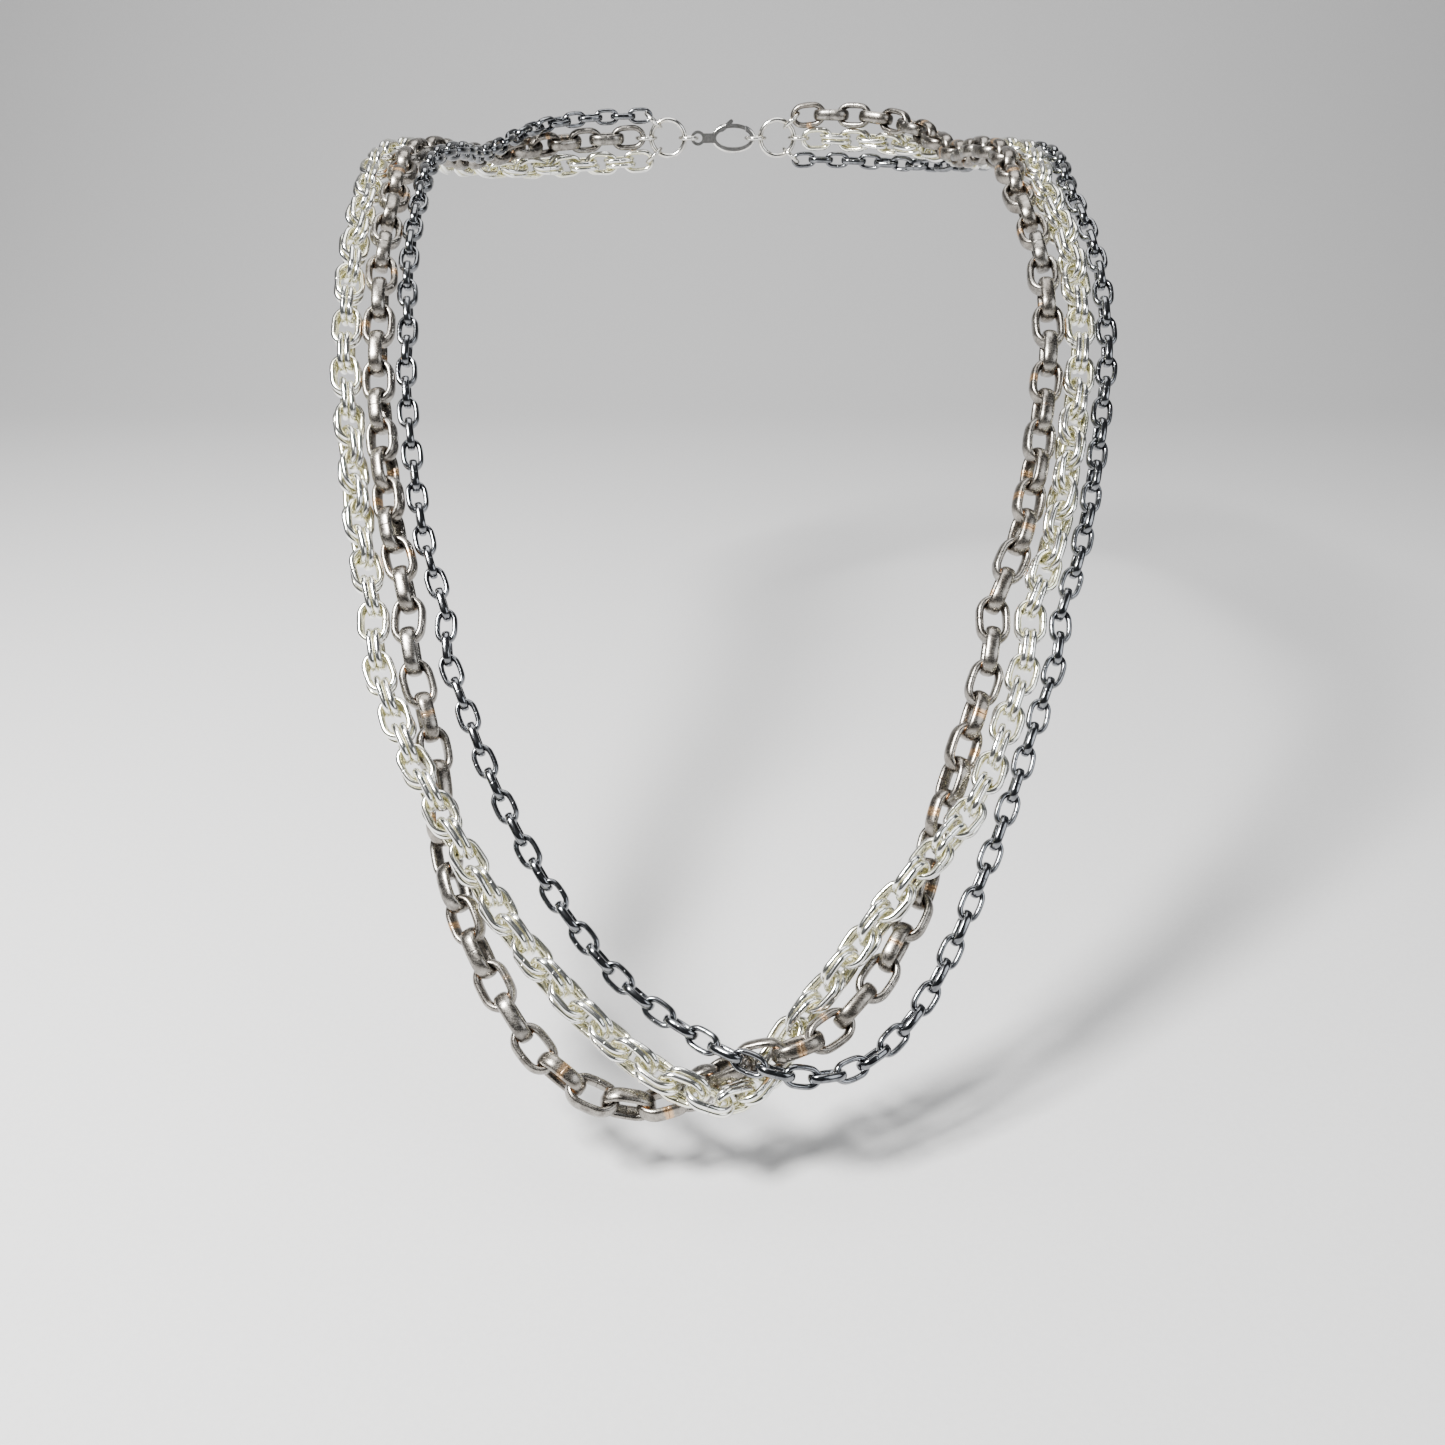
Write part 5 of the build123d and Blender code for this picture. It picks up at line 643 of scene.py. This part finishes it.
def silver_material():
    m = Nodes("bright_silver")
    rub, cave, inside = m.attr("wear_and_shade")
    seam, rnd, cut = m.attr("mark")
    blotch = m.noise(0.45, 3, 0.55)
    grain = m.noise(7.0, 4, 0.6)
    base = m.mix(m.ramp(blotch, 0.35, 0.68), (0.97, 0.975, 0.955), (0.90, 0.90, 0.855))
    # the hollows between the links turn a pale yellow: partly painted shade and warm interreflection, partly brass
    # showing through the plating
    hollow_shade_and_brass = m.math("MULTIPLY", m.math("POWER", cave, 0.9), m.math("ADD", m.math("MULTIPLY", inside, 0.95), 0.22))
    hollow_shade_and_brass = m.ramp(m.math("ADD", hollow_shade_and_brass, m.math("MULTIPLY", m.math("SUBTRACT", blotch, 0.5), 0.4)), 0.12, 0.62, 0.0, 0.95)
    base = m.mix(hollow_shade_and_brass, base, (0.90, 0.875, 0.655))
    # darker yellow on inner faces where links touch: partly painted contact shade, partly rubbed plating
    base = m.mix(m.math("MULTIPLY", m.math("MULTIPLY", rub, inside), 0.22), base, (0.66, 0.60, 0.38))
    base = m.mix(m.math("MULTIPLY", cut, 0.85), base, (0.10, 0.085, 0.05))
    m.put(m.b.inputs["Base Color"], base)
    m.put(m.b.inputs["Metallic"], 1.0)
    m.put(m.b.inputs["Roughness"], m.math("ADD", m.ramp(grain, 0.35, 0.7, 0.10, 0.20), m.math("MULTIPLY", hollow_shade_and_brass, 0.06)))
    m.put(m.b.inputs["Normal"], m.bump(m.math("ADD", grain, m.math("MULTIPLY", blotch, 0.8)), 0.12, 0.03))
    return m.mat


def dark_material():
    m = Nodes("black_gunmetal")
    rub, cave, inside = m.attr("wear_and_shade")
    seam, rnd, cut = m.attr("mark")
    blotch = m.noise(0.8, 3, 0.55)
    grain = m.noise(9.0, 4, 0.6)
    base = m.mix(m.ramp(blotch, 0.35, 0.7), (0.20, 0.207, 0.22), (0.095, 0.099, 0.107))
    # grey metal shows through on a few rubbed places
    worn = m.ramp(m.math("ADD", m.math("MULTIPLY", rub, 0.8), m.math("MULTIPLY", m.math("SUBTRACT", grain, 0.5), 1.2)), 0.55, 1.0, 0.0, 0.6)
    base = m.mix(worn, base, (0.40, 0.395, 0.385))
    base = m.mix(m.math("MULTIPLY", cut, 0.9), base, (0.01, 0.01, 0.01))
    m.put(m.b.inputs["Base Color"], base)
    m.put(m.b.inputs["Metallic"], 1.0)
    m.put(m.b.inputs["Roughness"], m.ramp(grain, 0.35, 0.7, 0.11, 0.21))
    m.put(m.b.inputs["Coat Weight"], 0.6)
    m.put(m.b.inputs["Coat Roughness"], 0.05)
    m.put(m.b.inputs["Normal"], m.bump(m.math("ADD", grain, blotch), 0.12, 0.03))
    return m.mat


def fitting_material(name, light, shade, tarnish_and_shade, r0, r1, attrs=True):
    m = Nodes(name)
    blotch = m.noise(0.7, 3, 0.55)
    grain = m.noise(8.0, 4, 0.6)
    brush = m.noise(6.0, 3, 0.6, vec=m.stretched(0.3, 2.0, 2.0))
    base = m.mix(m.ramp(blotch, 0.35, 0.68), light, shade)
    if attrs:
        rub, cave, inside = m.attr("wear_and_shade")
        seam, rnd, cut = m.attr("mark")
        # darker tarnish tone where other parts lie close: partly painted shade from the neighbouring parts, partly
        # tarnish
        base = m.mix(m.math("MULTIPLY", m.math("POWER", cave, 1.5), 0.5), base, tarnish_and_shade)
    else:
        base = m.mix(m.ramp(grain, 0.55, 0.75, 0.0, 0.35), base, tarnish_and_shade)
    m.put(m.b.inputs["Base Color"], base)
    m.put(m.b.inputs["Metallic"], 1.0)
    m.put(m.b.inputs["Roughness"], m.ramp(m.math("ADD", m.math("MULTIPLY", grain, 0.5), m.math("MULTIPLY", brush, 0.5)), 0.35, 0.7, r0, r1))
    m.put(m.b.inputs["Normal"], m.bump(m.math("ADD", grain, brush), 0.10, 0.03))
    return m.mat


MATERIAL = {"antique": antique_material(), "double": silver_material(), "dark": dark_material()}
RING_MAT = fitting_material("ring_silver", (0.82, 0.81, 0.78), (0.68, 0.665, 0.62), (0.45, 0.38, 0.22), 0.12, 0.24)
CLASP_MAT = fitting_material("clasp_silver", (0.80, 0.79, 0.765), (0.69, 0.675, 0.64), (0.48, 0.42, 0.30), 0.13, 0.26, attrs=False)
SPRING_MAT = fitting_material("spring_steel", (0.60, 0.60, 0.60), (0.48, 0.475, 0.465), (0.30, 0.28, 0.26), 0.22, 0.36, attrs=False)

start = 0
for node, (kind, places) in list(LAYOUT.items()):
    ob = build_node(node, start)
    start += len(places)
    ob.data.materials.append(MATERIAL.get(kind, RING_MAT))
    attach(ob, NODE_BODY[node])
    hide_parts(node)

for node in ("clasp_body", "clasp_lever", "lever_pin", "lever_spring"):
    ob = frame["nodes"][node]
    for s in ob.material_slots:
        s.link = "OBJECT"
        s.material = SPRING_MAT if node == "lever_spring" else CLASP_MAT

# ------------------------------------------------------------------ floor and light
FLOOR_Z = CAD_BOX[0][2] - 0.012


def backdrop():
    """A pale floor that curves up into a wall behind."""
    prof = [(-1.6, 0.0), (-0.6, 0.0), (0.0, 0.0), (0.42, 0.0)]
    R, y0 = 0.40, 0.42
    for k in range(1, 25):
        t = math.pi / 2 * k / 24
        prof.append((y0 + R * math.sin(t), R * (1 - math.cos(t))))
    prof.append((y0 + R, 2.2))
    verts, faces = [], []
    for i, (y, z) in enumerate(prof):
        verts += [(-2.0, y, z + FLOOR_Z), (2.0, y, z + FLOOR_Z)]
        if i:
            faces.append((2 * i - 2, 2 * i - 1, 2 * i + 1, 2 * i))
    me = bpy.data.meshes.new("floor")
    me.from_pydata(verts, [], faces)
    me.polygons.foreach_set("use_smooth", [True] * len(faces))
    ob = bpy.data.objects.new("floor", me)
    bpy.context.scene.collection.objects.link(ob)
    m = Nodes("floor_paper")
    g = m.noise(0.9, 3, 0.6)
    m.put(m.b.inputs["Base Color"], m.mix(m.ramp(g, 0.3, 0.7), (0.50, 0.50, 0.505), (0.52, 0.52, 0.525)))
    m.put(m.b.inputs["Roughness"], 0.9)
    me.materials.append(m.mat)
    return ob


backdrop()


def area(name, where, aim, size, power, colour=(1, 1, 1), size_y=None):
    d = bpy.data.lights.new(name, "AREA")
    d.energy = power
    d.color = colour
    d.size = size
    if size_y:
        d.shape = "RECTANGLE"
        d.size_y = size_y
    o = bpy.data.objects.new(name, d)
    o.location = where
    o.rotation_euler = (Vector(aim) - Vector(where)).to_track_quat("-Z", "Y").to_euler()
    bpy.context.scene.collection.objects.link(o)
    return o


AIM = (0.0, -0.08, -0.07)
area("key", (-0.30, -0.30, 0.40), AIM, 0.15, 19.0, (1.0, 0.99, 0.97))
area("fill", (0.55, -0.45, 0.25), AIM, 0.45, 2.2, (0.93, 0.96, 1.0))
area("top", (0.0, 0.15, 0.65), AIM, 0.50, 3.6)

world = bpy.data.worlds.new("studio")
bpy.context.scene.world = world
world.use_nodes = True
bg = world.node_tree.nodes["Background"]
bg.inputs["Color"].default_value = (0.55, 0.57, 0.60, 1)
bg.inputs["Strength"].default_value = 0.15
